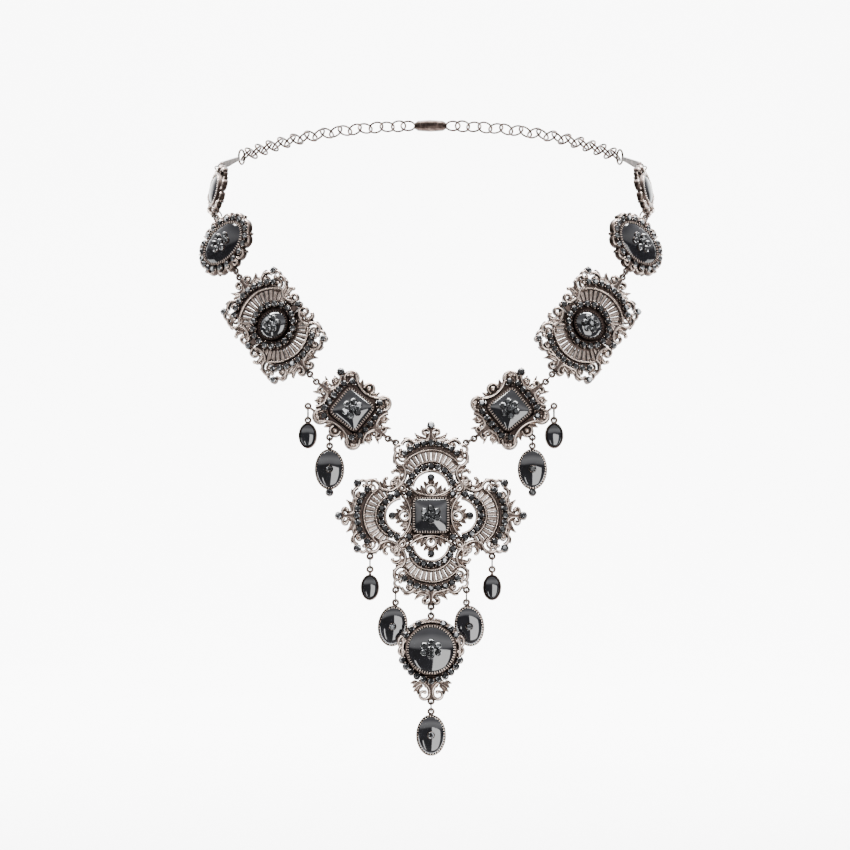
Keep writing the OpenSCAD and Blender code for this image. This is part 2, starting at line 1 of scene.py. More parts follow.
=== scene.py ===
import math
import bpy
import numpy as np
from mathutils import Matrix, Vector


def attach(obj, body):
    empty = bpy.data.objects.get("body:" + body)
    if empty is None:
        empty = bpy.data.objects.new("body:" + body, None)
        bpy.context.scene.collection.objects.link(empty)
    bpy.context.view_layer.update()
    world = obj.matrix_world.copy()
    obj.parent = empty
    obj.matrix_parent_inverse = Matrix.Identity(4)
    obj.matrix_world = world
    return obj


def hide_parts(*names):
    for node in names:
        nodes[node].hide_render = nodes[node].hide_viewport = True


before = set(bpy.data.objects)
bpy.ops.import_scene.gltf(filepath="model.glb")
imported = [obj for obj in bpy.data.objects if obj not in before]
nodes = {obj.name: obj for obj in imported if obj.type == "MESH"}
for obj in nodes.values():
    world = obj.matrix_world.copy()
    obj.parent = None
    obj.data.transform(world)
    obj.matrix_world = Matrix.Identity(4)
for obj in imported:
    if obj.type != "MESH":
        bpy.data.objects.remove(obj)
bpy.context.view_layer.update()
mm = 0.001
rng = np.random.default_rng(7)

# where each link sits: centre in mm, then swing, lean and spin in degrees, the same as the solids
links = {
    "cross": dict(centre=(0, -135, -142.1), turn=(0, -12, 0)),
    "round": dict(centre=(0, -144, -187.2), turn=(0, -9, 0)),
    "square": dict(centre=(-27, -128.5, -106), turn=(3, -10, 51)),
    "fan": dict(centre=(-53.5, -119.5, -77), turn=(-20, -11, 40)),
    "oval": dict(centre=(-70.6, -103.8, -48.5), turn=(-42, -14, 36)),
    "small": dict(centre=(-74, -87.7, -29), turn=(-72, -15, 42)),
}
# link, eyelet x and y on it, hang, turn, height of the drop's own eyelet
hangs = {
    "drop_tip": dict(link="round", eye=(0, -17.3), hang=3.4, turn=(0, -3, 0), top=8.0),
    "drop_inner": dict(link="cross", eye=(-12, -25.5), hang=4.2, turn=(0, 3, -7), top=8.0),
    "drop_arm": dict(link="cross", eye=(-20.7, -13.9), hang=4.4, turn=(0, -4, 0), top=6.15),
    "drop_square": dict(link="square", eye=(-12.2, 0), hang=2.9, turn=(0, -4, 0), top=8.0),
    "drop_side": dict(link="square", eye=(-8.4, 12.5), hang=4.8, turn=(-4, -4, 0), top=5.3),
}
# heights above a link's back, in mm
level = dict(plate=1.05, leaf=1.6, relief=1.9, bezel=2.5, eye=0.65, stoneFoot=1.15, gemFoot=2.04)


def aboutZ(a):
    # the plain turn by a: x to (cos a, sin a)
    return np.array([[math.cos(a), -math.sin(a), 0], [math.sin(a), math.cos(a), 0], [0, 0, 1]])


def facing(turn):
    # turn about z by the spin, then about x by the lean and a right angle, then about z by the swing
    swing, lean, spin = (math.radians(a) for a in (turn[0], turn[1] + 90, turn[2]))
    c, s = math.cos(lean), math.sin(lean)
    aboutX = np.array([[1, 0, 0], [0, c, -s], [0, s, c]])
    return aboutZ(swing) @ aboutX @ aboutZ(spin)


for name, hang in hangs.items():
    # a drop's centre lies below its hook by its hang and its own height
    link = links[hang["link"]]
    hook = np.array(link["centre"]) + facing(link["turn"]) @ (*hang["eye"], level["eye"])
    ownEye = facing(hang["turn"]) @ (0, hang["top"], level["eye"])
    centre = hook - (0, 0, hang["hang"]) - ownEye
    links[name] = dict(centre=tuple(centre), turn=hang["turn"])


# Surfaces. Each function returns points and a list of face tables; heights are in mm above the back.

def gridFaces(rows, cols, wrapRows=False, wrapCols=True):
    # quads between neighbouring points of a grid; a wrapped side joins its last line to its first
    firstI, firstJ = np.arange(rows - (not wrapRows)), np.arange(cols - (not wrapCols))
    i, j = np.meshgrid(firstI, firstJ, indexing="ij")
    nextI, nextJ = (i + 1) % rows, (j + 1) % cols
    corners = [i * cols + j, i * cols + nextJ, nextI * cols + nextJ, nextI * cols + j]
    return np.stack(corners, -1).reshape(-1, 4)


def outward(points, faces):
    # a closed shell whose signed volume is below zero has all its faces turned round
    flat = points.reshape(-1, 3)
    volume = 0
    for table in faces:
        corner = flat[table]
        for k in range(1, table.shape[1] - 1):
            volume += np.einsum("ij,ij->", corner[:, 0], np.cross(corner[:, k], corner[:, k + 1]))
    return faces if volume > 0 else [table[:, ::-1] for table in faces]


def closedTube(points):
    # rows of closed loops, with the first and last loop filled
    rows, cols = points.shape[:2]
    firstLoop = np.arange(cols)[None, :]
    lastLoop = firstLoop + (rows - 1) * cols
    return outward(points, [gridFaces(rows, cols), firstLoop[:, ::-1], lastLoop])


# relief sets the cast metal's tone: patina and painted shade where it is low, a painted highlight where it is
# high
class Sheaf:  # gathers shells of one piece; relief runs from 0 in a recess to 1 on a crest
    def __init__(self):
        self.points, self.faces, self.relief, self.count = [], [], [], 0

    def add(self, points, faces, relief):
        flat = points.reshape(-1, 3)
        self.points.append(flat)
        self.relief.append(np.broadcast_to(relief, points.shape[:-1]).reshape(-1))
        self.faces += [table + self.count for table in faces]
        self.count += len(flat)

    def addTube(self, points, relief):
        self.add(points, closedTube(points), relief)

    def scatter(self, shape, faces, relief, places, turns=None):
        # the same small shell at many places: point = place + (c x - s y, s x + c y, z)
        places = np.asarray(places, float)
        if places.shape[1] == 2:
            places = np.column_stack([places, np.zeros(len(places))])
        turns = np.zeros(len(places)) if turns is None else np.asarray(turns)
        x, y, z = shape.reshape(-1, 3).T
        c, s = np.cos(turns)[:, None], np.sin(turns)[:, None]
        spun = np.stack([c * x - s * y, s * x + c * y, np.broadcast_to(z, (len(places), len(z)))], -1)
        start = (np.arange(len(places)) * len(z))[:, None, None]
        tables = [(table[None] + start).reshape(-1, table.shape[1]) for table in faces]
        relief = np.broadcast_to(relief, shape.shape[:-1]).reshape(1, -1)
        self.add(spun + places[:, None, :], tables, relief)

    def merge(self, other, turn=0.0, flip=False, shift=(0, 0, 0)):
        # adds another sheaf, mirrored in x where asked, then turned about z and moved
        c, s = math.cos(math.radians(turn)), math.sin(math.radians(turn))
        points = np.concatenate(other.points) * ((-1, 1, 1) if flip else (1, 1, 1))
        points = points @ np.array([[c, s, 0], [-s, c, 0], [0, 0, 1]]) + shift
        faces = [table[:, ::-1] for table in other.faces] if flip else other.faces
        self.add(points, faces, np.concatenate(other.relief))

    def mergeBoth(self, half, turns=(0,), shift=(0, 0, 0)):
        # a half and its mirror image, at each turn
        for turn in turns:
            for flip in (False, True):
                self.merge(half, turn, flip, shift)


finish = dict(sharpAngle=50, backShare=-0.8)  # degrees; a face that looks this far away is on the back


def makePiece(name, sheaf, link, material, replaced, smooth=True, flip=False):
    # point = centre + turn * local point, mirrored in x for a right piece, in metres
    turn = facing(links[link]["turn"])
    points = np.concatenate(sheaf.points) @ turn.T + links[link]["centre"]
    front = turn[:, 2]
    faces = sheaf.faces
    if flip:
        points, front = points * (-1, 1, 1), front * (-1, 1, 1)
        faces = [table[:, ::-1] for table in faces]
    listed = []
    for table in faces:
        listed += table.tolist()
    mesh = bpy.data.meshes.new(name)
    mesh.from_pydata((points * mm).tolist(), [], listed)
    mesh.polygons.foreach_set("use_smooth", np.full(len(listed), smooth))
    mesh.update()
    normals = np.empty(len(listed) * 3)
    mesh.polygons.foreach_get("normal", normals)
    behind = normals.reshape(-1, 3) @ front < finish["backShare"]
    keep = dict(relief=("POINT", np.concatenate(sheaf.relief)), facet=("FACE", rng.random(len(listed))),
                behind=("FACE", behind.astype(float)))
    for key, (domain, values) in keep.items():
        mesh.attributes.new(key, "FLOAT", domain).data.foreach_set("value", values)
    piece = bpy.data.objects.new(name, mesh)
    bpy.context.collection.objects.link(piece)
    mesh.materials.append(material)
    if smooth:
        mesh.set_sharp_from_angle(angle=math.radians(finish["sharpAngle"]))
    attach(piece, "root")
    if replaced:
        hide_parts(*replaced)


# Small shapes that repeat. A cup's wall is inset, height and relief; a stone's rings are radius, height
# and turn in eighths; grains and claws are radius, height and relief.

# in the relief column the cups' feet and the claws' roots are painted dark as shade and their lips and tips
# pale as highlights
gem = dict(
    cup=2.55, wall=[(0, 0.04, 0.0), (0, 1.7, 0.15), (0.06, 1.98, 0.5), (0.14, 2.06, 0.72),
                    (0.22, 1.98, 0.3), (0.3, 1.75, 0.0)],
    rings=[(0.72, 0.0, 0.5), (1.03, 0.26, 0.5), (0.9, 0.5, 0.0), (0.6, 0.86, 0.5), (0.56, 0.9, 0.5)],
    claw=0.22, clawHigh=2.1, clawInset=0.12, large=1.1)
grain = [(1.0, -0.6, 0.1), (1.0, 0.1, 0.5), (0.82, 0.57, 0.95), (0.45, 0.89, 1.0), (0.12, 0.99, 1.0)]
claw = [(1.0, -1.2, 0.2), (1.0, 0.2, 0.8), (0.6, 0.8, 1.0), (0.15, 1.0, 1.0)]
eyelet = dict(radius=0.86, wire=0.43, sides=24, around=10, relief=0.45)


def allRound(count):
    # angles spread evenly over a whole turn
    return np.arange(count) * 2 * math.pi / count


def lathe(profile, sides):
    # radius and height turned about z: (r cos a, r sin a, h); gives points, faces and relief
    radius, height, relief = np.array(profile, float).T
    a = allRound(sides)
    points = np.stack([radius[:, None] * np.cos(a), radius[:, None] * np.sin(a),
                       np.broadcast_to(height[:, None], (len(radius), sides))], -1)
    return points, closedTube(points), relief[:, None] * np.ones(sides)


def cupShape(sides=14):
    # the wall turned about z, with a rolled lip
    return lathe([(gem["cup"] / 2 - inset, *rest) for inset, *rest in gem["wall"]], sides)


def stoneShape():
    # a girdle of eight corners, a crown ring between them, and a flat table
    rings = []
    for r, z, turn in gem["rings"]:
        a = (np.arange(8) + turn) * math.pi / 4
        rings.append(np.stack([r * np.cos(a), r * np.sin(a), np.full(8, z)], -1))
    return np.stack(rings)


def stoneFaces():
    # triangles between the rings, so that each facet is flat
    rings = len(gem["rings"])
    quads = gridFaces(rings, 8)
    low = np.arange(8)[None, ::-1]
    table = np.arange(8)[None] + 8 * (rings - 1)
    return outward(stoneShape(), [quads[:, [0, 1, 2]], quads[:, [0, 2, 3]], low, table])


def ringShape():
    # a wire ring lying flat: ((R + w cos b) cos a, (R + w cos b) sin a, w sin b)
    sides, around, wire = eyelet["sides"], eyelet["around"], eyelet["wire"]
    a, b = allRound(sides)[:, None], allRound(around)
    out = eyelet["radius"] + wire * np.cos(b)
    high = np.broadcast_to(wire * np.sin(b), (sides, around))
    points = np.stack([out * np.cos(a), out * np.sin(a), high], -1)
    faces = outward(points, [gridFaces(sides, around, wrapRows=True)])
    return points, faces, np.full((sides, around), eyelet["relief"])


def addCups(sheaf, places, foot=0.0, wide=1.0):
    # a cup at each place, and four grains that hold its stone
    places = np.asarray(places, float)
    lifted = np.column_stack([places, np.full(len(places), foot)])
    cup, faces, relief = cupShape()
    sheaf.scatter(cup * (wide, wide, 1), faces, relief, lifted)
    a = allRound(4) + math.pi / 4
    r = gem["cup"] / 2 * wide - gem["clawInset"]
    spots = lifted[:, None] + np.stack([r * np.cos(a), r * np.sin(a), np.full(4, gem["clawHigh"])], -1)
    points, faces, relief = lathe(claw, 6)
    sheaf.scatter(points * gem["claw"], faces, relief, spots.reshape(-1, 3))


def addStones(sheaf, places, foot=level["gemFoot"], wide=1.0):
    # a stone at each place, each turned its own way
    places = np.asarray(places, float)
    lifted = np.column_stack([places, np.full(len(places), foot)])
    turns = rng.random(len(places)) * math.pi
    sheaf.scatter(stoneShape() * (wide, wide, 1), stoneFaces(), 1.0, lifted, turns)


def addRings(sheaf, places):
    # an eyelet at each place, at the height of the links' holes
    points, faces, relief = ringShape()
    sheaf.scatter(points, faces, relief, [(x, y, level["eye"]) for x, y in places])


def addBall(sheaf, place, radius, height):
    # one larger grain
    points, faces, relief = lathe(grain, 12)
    sheaf.scatter(points * radius, faces, relief, [(*place, height)])


def addBeads(sheaf, centre, radius, a0, a1, pitch, height, size):
    # a row of grains along an arc
    count = int(abs(a1 - a0) * math.pi / 180 * radius / pitch) + 1
    places = [(x, y, height) for x, y in arcRow(*centre, radius, a0, a1, count)]
    points, faces, relief = lathe(grain, 8)
    sheaf.scatter(points * size, faces, relief, places)


def arcRow(cx, cy, r, a0, a1, count):
    # places along an arc: centre + r (cos a, sin a)
    a = np.radians(np.linspace(a0, a1, count))
    return list(zip(cx + r * np.cos(a), cy + r * np.sin(a)))


def ovalRow(a, b, a0, count):
    # places round an oval: (a cos t, b sin t)
    t = np.radians(a0 + 360 / count * np.arange(count))
    return list(zip(a * np.cos(t), b * np.sin(t)))


def bothOf(points):
    # the places and their mirror images in x
    return list(points) + [(-x, y) for x, y in points if abs(x) > 0.1]


def turned(points, angle):
    # the places turned about the middle
    c, s = math.cos(math.radians(angle)), math.sin(math.radians(angle))
    return [(x * c - y * s, x * s + y * c) for x, y in points]


def disc(x, y, radius, count=28):
    # a circle as an outline
    theta = allRound(count)
    return np.column_stack([x + radius * np.cos(theta), y + radius * np.sin(theta)])


# Scrollwork. A profile is place across the width, height as a share, and relief. A band is its centre's
# x and y, then its first and last radius, angle and width; a leaf is root x, y, tip x, y, width and bend;
# a slab is its outline, foot, top and, where it isn't the common one, relief.

# the relief column paints a band's low sides dark as shade and its crest pale as a highlight, over the patina
bandProfile = np.array([
    (-1.0, 0.0, 0.0), (-1.0, 0.45, 0.0), (-0.85, 0.72, 0.2), (-0.5, 0.93, 0.8), (-0.15, 1.0, 1.0),
    (0.15, 1.0, 1.0), (0.5, 0.93, 0.8), (0.85, 0.72, 0.2), (1.0, 0.45, 0.0), (1.0, 0.0, 0.0)])
flatProfile = np.array([
    (-1.0, 0.05, 0.0), (-1.0, 0.98, 0.2), (-0.9, 1.0, 0.42),
    (0.9, 1.0, 0.42), (1.0, 0.98, 0.2), (1.0, 0.05, 0.0)])
leafProfile = np.array([
    (-1.0, 0.0, 0.0), (-1.0, 0.62, 0.1), (-0.88, 0.86, 0.7), (-0.6, 0.96, 1.0), (-0.33, 0.91, 0.3),
    (-0.2, 0.92, 0.2), (0.0, 1.0, 1.0), (0.2, 0.92, 0.2), (0.33, 0.91, 0.3), (0.6, 0.96, 1.0),
    (0.88, 0.86, 0.7), (1.0, 0.62, 0.1), (1.0, 0.0, 0.0)])
fineBand = dict(height=1.6, lip=0.12, step=0.3)
narrowBand = dict(height=1.6, lip=0.1, step=0.3)
plateBand = dict(height=level["plate"], lip=0.0, step=0.8, profile=flatProfile)
curl = dict(tight=0.9, ball=0.72, ballLow=0.35)  # a band that ends tighter than this carries a small ball
leafShape = dict(steps=9, root=0.6, close=1.45, edge=0.1, fall=0.05)
slabShape = dict(chamfer=0.14, relief=0.55)


def addBand(sheaf, band, height=level["relief"], lip=0.16, step=0.4, profile=bandProfile):
    # point = centre + (radius + side * half width) * (cos a, sin a), height from the profile
    cx, cy, r0, r1, a0, a1, w0, w1 = band
    count = max(6, int(abs(a1 - a0) * math.pi / 180 * (r0 + r1) / 2 / step))
    t = np.linspace(0, 1, count + 1)[:, None]
    side, rise, relief = profile.T
    radius = r0 + (r1 - r0) * t + side * ((w0 + (w1 - w0) * t) / 2 + lip)
    a = np.radians(a0 + (a1 - a0) * t)
    points = np.stack([cx + radius * np.cos(a), cy + radius * np.sin(a),
                       np.broadcast_to(rise * height, radius.shape)], -1)
    sheaf.addTube(points, relief)
    if r1 < curl["tight"]:
        end = arcRow(cx, cy, r1, a1, a1, 1)[0]
        addBall(sheaf, end, curl["ball"], height - curl["ballLow"])


def addLeaf(sheaf, leaf, height=level["leaf"], blunt=0.35):
    # point = root + along * d + across * (bend sin(pi t) + side * half width); the width swells and closes
    x0, y0, x1, y1, width, bend = leaf
    d = np.array([x1 - x0, y1 - y0])
    across = np.array([-d[1], d[0]]) / np.hypot(*d)
    t = np.linspace(0, 1, leafShape["steps"])[:, None]
    swelling = leafShape["root"] + (1 - leafShape["root"]) * np.sin(t / blunt * math.pi / 2)
    closing = np.cos((t - blunt) / (1 - blunt) * leafShape["close"])
    half = width / 2 * np.where(t < blunt, swelling, closing) + leafShape["edge"]
    side, rise, relief = leafProfile.T
    offset = bend * np.sin(math.pi * t) + side * half
    points = np.stack([x0 + d[0] * t + across[0] * offset, y0 + d[1] * t + across[1] * offset,
                       rise * height * (1 - leafShape["fall"] * t)], -1)
    sheaf.addTube(points, relief)


def unit(rows):
    # each row divided by its length
    return rows / np.linalg.norm(rows, axis=1, keepdims=True)


def addSlab(sheaf, outline, z0, z1, relief=slabShape["relief"]):
    # a flat plate: its outline at the foot and at the shoulder, then drawn in along its corners' normals
    outline, chamfer = np.array(outline, float), slabShape["chamfer"]
    ahead, behind = np.roll(outline, -1, 0) - outline, outline - np.roll(outline, 1, 0)
    normal = unit(unit(ahead) + unit(behind)) @ np.array([[0, -1], [1, 0]])
    area = np.sum(outline[:, 0] * np.roll(outline[:, 1], -1) - outline[:, 1] * np.roll(outline[:, 0], -1))
    inner = outline - np.sign(area) * normal * chamfer
    loops = [(outline, z0), (outline, z1 - chamfer), (inner, z1)]
    points = np.stack([np.column_stack([loop, np.full(len(loop), z)]) for loop, z in loops])
    sheaf.addTube(points, np.array([0.0, relief, relief])[:, None])


# Settings: a rim is the curve |x/a|^p + |y/b|^p = 1, an oval at p = 2 and a cushion above it

# a tooth's low and high are its relief at foot and tip: a dark foot and a pale tip, a painted highlight
tooth = dict(pitch=0.86, half=0.24, foot=-0.35, low=0.1, high=1.1)
crown = dict(wall=0.3, bulge=2.3, round=0.62, last=0.02, lines=26, foot=0.995)
# the flower on a dome: petals, then its cups' width, relief and sink, and how its stones stand
flower = dict(petals=6, cup=0.79, relief=0.3, sink=1.85, deep=0.6, sides=12, high=1.2, lift=0.1)


def rim(a, b, power, theta):
    # point = (c, s) * (|c/a|^p + |s/b|^p)^(-1/p) at c = cos t, s = sin t, and the outward normal there
    c, s = np.cos(theta), np.sin(theta)
    r = (np.abs(c / a) ** power + np.abs(s / b) ** power) ** (-1 / power)
    normal = np.stack([np.sign(c) * np.abs(c * r / a) ** (power - 1) / a,
                       np.sign(s) * np.abs(s * r / b) ** (power - 1) / b], -1)
    return np.stack([c * r, s * r], -1), unit(normal)


def evenRim(a, b, power, pitch, fine=2001):
    # the same curve at places that are equally far apart along it
    theta = np.linspace(0, 2 * math.pi, fine)
    points, _ = rim(a, b, power, theta)
    run = np.concatenate([[0], np.cumsum(np.linalg.norm(np.diff(points, axis=0), axis=1))])
    count = int(run[-1] / pitch)
    return rim(a, b, power, np.interp(np.arange(count) * run[-1] / count, run, theta))


def addWall(sheaf, a, b, power, section, count, shine=1.0):
    # point = rim + normal * out; the section is out, height and relief, and shine scales that relief, so a
    # lower shine paints the wall darker as shade and dims its painted highlight
    curve, normal = rim(a, b, power, allRound(count))
    loops = [np.column_stack([curve + normal * out, np.full(count, z)]) for out, z, _ in section]
    sheaf.addTube(np.stack(loops), np.array(section)[:, 2:] * shine)


def addBezel(sheaf, a, b, power, top=level["bezel"], wall=0.7, count=96, shine=1.0):
    # a wall with a rounded lip round the stone, on a floor that fills it
    section = [
        (wall + 0.25, 0.05, 0.2), (wall + 0.25, 0.85, 0.5), (wall + 0.1, 1.05, 0.55), (wall, 1.2, 0.2),
        (wall, top - 0.25, 0.15), (wall - 0.12, top - 0.06, 0.45), (wall / 2 + 0.06, top - 0.04, 0.3),
        (0.16, top - 0.16, 0.1), (0.1, top - 0.5, 0.0), (0.1, 1.06, 0.0)]
    addWall(sheaf, a, b, power, section, count, shine)


def addTeeth(sheaf, a, b, power, top=level["bezel"], reach=0.45, wall=0.7, shine=1.0):
    # narrow wedges stand round the rim and lean in over the stone
    curve, normal = evenRim(a, b, power, tooth["pitch"])
    half, foot = tooth["pitch"] * tooth["half"], tooth["foot"]
    shape = np.array([[(wall * 0.7, -half, foot), (wall * 0.7, half, foot),
                       (-0.1, half * 0.8, foot), (-0.1, -half * 0.8, foot)],
                      [(wall * 0.45, -half, 0.1), (wall * 0.45, half, 0.1),
                       (-reach, half * 0.45, 0.12), (-reach, -half * 0.45, 0.12)]])
    relief = np.array([[tooth["low"]], [tooth["high"]]]) * np.ones(4) * shine
    places = np.column_stack([curve, np.full(len(curve), top)])
    sheaf.scatter(shape, closedTube(shape), relief, places, np.arctan2(normal[:, 1], normal[:, 0]))


def domeHeight(s, height):
    # at the share s of the rim's radius: an upright wall, then a round crown, (1 - s^bulge)^round
    return height * (crown["wall"] + (1 - crown["wall"]) * (1 - s ** crown["bulge"]) ** crown["round"])


def addDome(sheaf, a, b, power, height, count=96):
    # point = s * rim, height from the crown's curve; the level lines grow rounder towards the top
    theta, foot = allRound(count), level["stoneFoot"]
    lines = [(crown["foot"], power, foot)]
    for s in np.sin(np.linspace(math.pi / 2, crown["last"], crown["lines"])):
        lines.append((s, 2 + (power - 2) * s ** 3, foot + domeHeight(s, height)))
    loops = [np.column_stack([rim(a, b, p, theta)[0] * s, np.full(count, z)]) for s, p, z in lines]
    sheaf.addTube(np.stack(loops), 1.0)


def lowCup(sides, wide, deep):
    # a cup sunk into the dome until little but its lip stands out
    points, faces, relief = cupShape(sides)
    points = points * (wide, wide, 1)
    points[..., 2] = np.clip(points[..., 2] - flower["sink"], -deep, 1)
    return points, faces, relief


def addFlower(metalSheaf, stoneSheaf, height, domeRim, radii, wide=1.2):
    # petals of faceted stones close round one stone, in low dark cups, standing on the dome
    spots = np.array(ovalRow(*radii, 90, flower["petals"]) + [(0.0, 0.0)])
    share = np.hypot(spots[:, 0] / domeRim[0], spots[:, 1] / domeRim[1])
    foot = level["stoneFoot"] + domeHeight(share, height)
    cup, faces, relief = lowCup(flower["sides"], wide * flower["cup"], flower["deep"])
    metalSheaf.scatter(cup, faces, relief * flower["relief"], np.column_stack([spots, foot]))
    stone = stoneShape() * (wide, wide, flower["high"])
    places = np.column_stack([spots, foot + flower["lift"]])
    stoneSheaf.scatter(stone, stoneFaces(), 1.0, places, rng.random(len(spots)) * math.pi)


def addEach(add, sheaf, rows, **style):
    # the same function on each row of a table
    for row in rows:
        add(sheaf, row, **style)


def addSetting(metal, stones, dome, table):
    # what holds the large stone, the eyelets, the stone itself and the flower on it
    addBezel(metal, *table["stone"], **table.get("bezel", {}))
    addTeeth(metal, *table["stone"], **table.get("teeth", {}))
    addRings(metal, table["eyes"])
    addDome(dome, *table.get("dome", table["stone"]), table["domeHigh"])
    if "flower" in table:
        addFlower(metal, stones, table["domeHigh"], table["stone"], **table["flower"])


# Shader maths

class Socket:  # wraps a node's output, so that an expression on it adds the Math nodes
    def __init__(self, tree, link):
        self.tree, self.link = tree, link

    def node(self, kind, settings=None, **values):
        # a node's type, its settings, and its sockets by name, or by number as i0, i1
        made = self.tree.nodes.new(kind)
        for key, value in (settings or {}).items():
            if key == "stops":
                ramp = made.color_ramp
                while len(ramp.elements) < len(value):
                    ramp.elements.new(0.5)
                for element, (place, colour) in zip(ramp.elements, value):
                    element.position, element.color = place, (*colour, 1)
            else:
                setattr(made, key, value)
        for key, value in values.items():
            target = made.inputs[int(key[1:]) if key[1:].isdigit() else key]
            if isinstance(value, Socket):
                self.tree.links.new(value.link, target)
            else:
                target.default_value = value
        return made

    def math(self, operation, a, b=0.0, clamp=False):
        made = self.node("ShaderNodeMath", dict(operation=operation, use_clamp=clamp), i0=a, i1=b)
        return Socket(self.tree, made.outputs[0])

    def __add__(self, other):
        return self.math("ADD", self, other)

    def __radd__(self, other):
        return self.math("ADD", other, self)

    def __sub__(self, other):
        return self.math("SUBTRACT", self, other)

    def __rsub__(self, other):
        return self.math("SUBTRACT", other, self)

    def __mul__(self, other):
        return self.math("MULTIPLY", self, other)

    def __rmul__(self, other):
        return self.math("MULTIPLY", other, self)

    def clamped(self):
        return self.math("ADD", self, 0.0, True)


def newMaterial(name):
    # the material, its tree, its shader, and the Object coordinates that every pattern starts from
    material = bpy.data.materials.new(name)
    material.use_nodes = True
    tree = material.node_tree
    start = Socket(tree, tree.nodes.new("ShaderNodeTexCoord").outputs["Object"])
    return material, tree, tree.nodes["Principled BSDF"], start


def noiseOf(start, scale, detail=4.0):
    # clouds about 1 / scale metres across
    made = start.node("ShaderNodeTexNoise", Vector=start, Scale=scale, Detail=detail, Roughness=0.55)
    return Socket(start.tree, made.outputs[0])


def attributeOf(start, name):
    # a number kept on the mesh
    return Socket(start.tree, start.node("ShaderNodeAttribute", dict(attribute_name=name)).outputs["Fac"])


def rampOf(value, stops):
    # a colour for each value
    return Socket(value.tree, value.node("ShaderNodeValToRGB", dict(stops=stops), i0=value).outputs[0])


def plug(tree, shader, name, value):
    tree.links.new(value.link, shader.inputs[name])


# tones of the cast metal by relief: the dark end is patina and painted shade in the hollows, the pale end a
# painted highlight on rubbed crests
silver = dict(
    tones=[(0.0, (0.018, 0.012, 0.010)), (0.38, (0.055, 0.040, 0.034)), (0.7, (0.17, 0.130, 0.112)),
           (1.0, (0.58, 0.48, 0.42))],
    patina=650.0, grain=5200.0, backTone=0.32, wireRise=0.7, wireDull=0.12,
    reliefShare=1.05, patinaShare=0.55, grainShare=0.25, roughLow=0.42, roughHigh=0.2, roughGrain=0.12,
    bump=0.35, bumpDeep=0.00006, bumpPatina=0.6)
polish = dict(
    clouds=240.0, tones=[(0.3, (0.004, 0.004, 0.005)), (0.8, (0.014, 0.014, 0.017))],
    smears=900.0, smearFrom=0.45, smearDull=0.22, rough=0.035, coatRough=0.03)
# the palest facet tone is a painted glint
facets = dict(
    clouds=700.0, cloudShare=0.1, rough=0.05, roughCloud=0.08, ior=1.5,
    tones=[(0.0, (0.004, 0.004, 0.005)), (0.7, (0.012, 0.012, 0.013)), (0.9, (0.05, 0.053, 0.056)),
           (0.98, (0.7, 0.72, 0.75))])


def antiqueSilver(name, cast=True):
    # dark in the recesses from patina and painted shade, bright on the crests from rubbing and a painted
    # highlight, clouded by a patina, and even on the plain back
    material, tree, shader, start = newMaterial(name)
    cloud = noiseOf(start, silver["patina"])
    fine = noiseOf(start, silver["grain"], detail=2.0)
    if cast:
        relief, behind = attributeOf(start, "relief"), attributeOf(start, "behind")
        relief = relief + behind * (silver["backTone"] - relief)
    else:
        relief = cloud * silver["wireRise"] - silver["wireDull"]
    # relief paints shade into the hollows and a highlight onto the crests, on top of the patina clouds and
    # grain
    wearAndPaintedLight = (relief * silver["reliefShare"] + (cloud - 0.5) * silver["patinaShare"]
            + (fine - 0.5) * silver["grainShare"]).clamped()
    plug(tree, shader, "Base Color", rampOf(wearAndPaintedLight, silver["tones"]))
    plug(tree, shader, "Roughness", silver["roughLow"] - wearAndPaintedLight * (silver["roughLow"] - silver["roughHigh"])
         + (fine - 0.5) * silver["roughGrain"])
    shader.inputs["Metallic"].default_value = 1.0
    bump = start.node("ShaderNodeBump", Strength=silver["bump"], Distance=silver["bumpDeep"],
                      Height=fine + cloud * silver["bumpPatina"])
    tree.links.new(bump.outputs[0], shader.inputs["Normal"])
    return material


def blackGlass(name, ior=1.75, coat=0.6):
    # polished black stone: faint clouds under the polish and a trace of handling in its gloss
    material, tree, shader, start = newMaterial(name)
    cloud = noiseOf(start, polish["clouds"], detail=3.0)
    smear = noiseOf(start, polish["smears"], detail=5.0)
    plug(tree, shader, "Base Color", rampOf(cloud, polish["tones"]))
    dulled = (smear - polish["smearFrom"]).clamped() * polish["smearDull"]
    plug(tree, shader, "Roughness", dulled + polish["rough"])
    shader.inputs["IOR"].default_value = ior
    shader.inputs["Coat Weight"].default_value = coat
    shader.inputs["Coat Roughness"].default_value = polish["coatRough"]
    return material


def facetedGlass(name):
    # most facets are black and a few pale: painted glints, as if they caught a lamp
    material, tree, shader, start = newMaterial(name)
    facet, cloud = attributeOf(start, "facet"), noiseOf(start, facets["clouds"], detail=3.0)
    tone = (facet + (cloud - 0.5) * facets["cloudShare"]).clamped()
    plug(tree, shader, "Base Color", rampOf(tone, facets["tones"]))
    plug(tree, shader, "Roughness", facets["rough"] + cloud * facets["roughCloud"])
    shader.inputs["IOR"].default_value = facets["ior"]
    return material


castMetal = antiqueSilver("antiqueSilverCastPaintedShade")
wireMetal = antiqueSilver("antiqueSilverWire", cast=False)
cabochonGlass = blackGlass("polishedBlack")
deepGlass = blackGlass("deepBlack", 1.5, 0.2)
dullGlass = blackGlass("dullBlack", 1.25, 0.0)
facetGlass = facetedGlass("facetedBlack")
print("materials made")

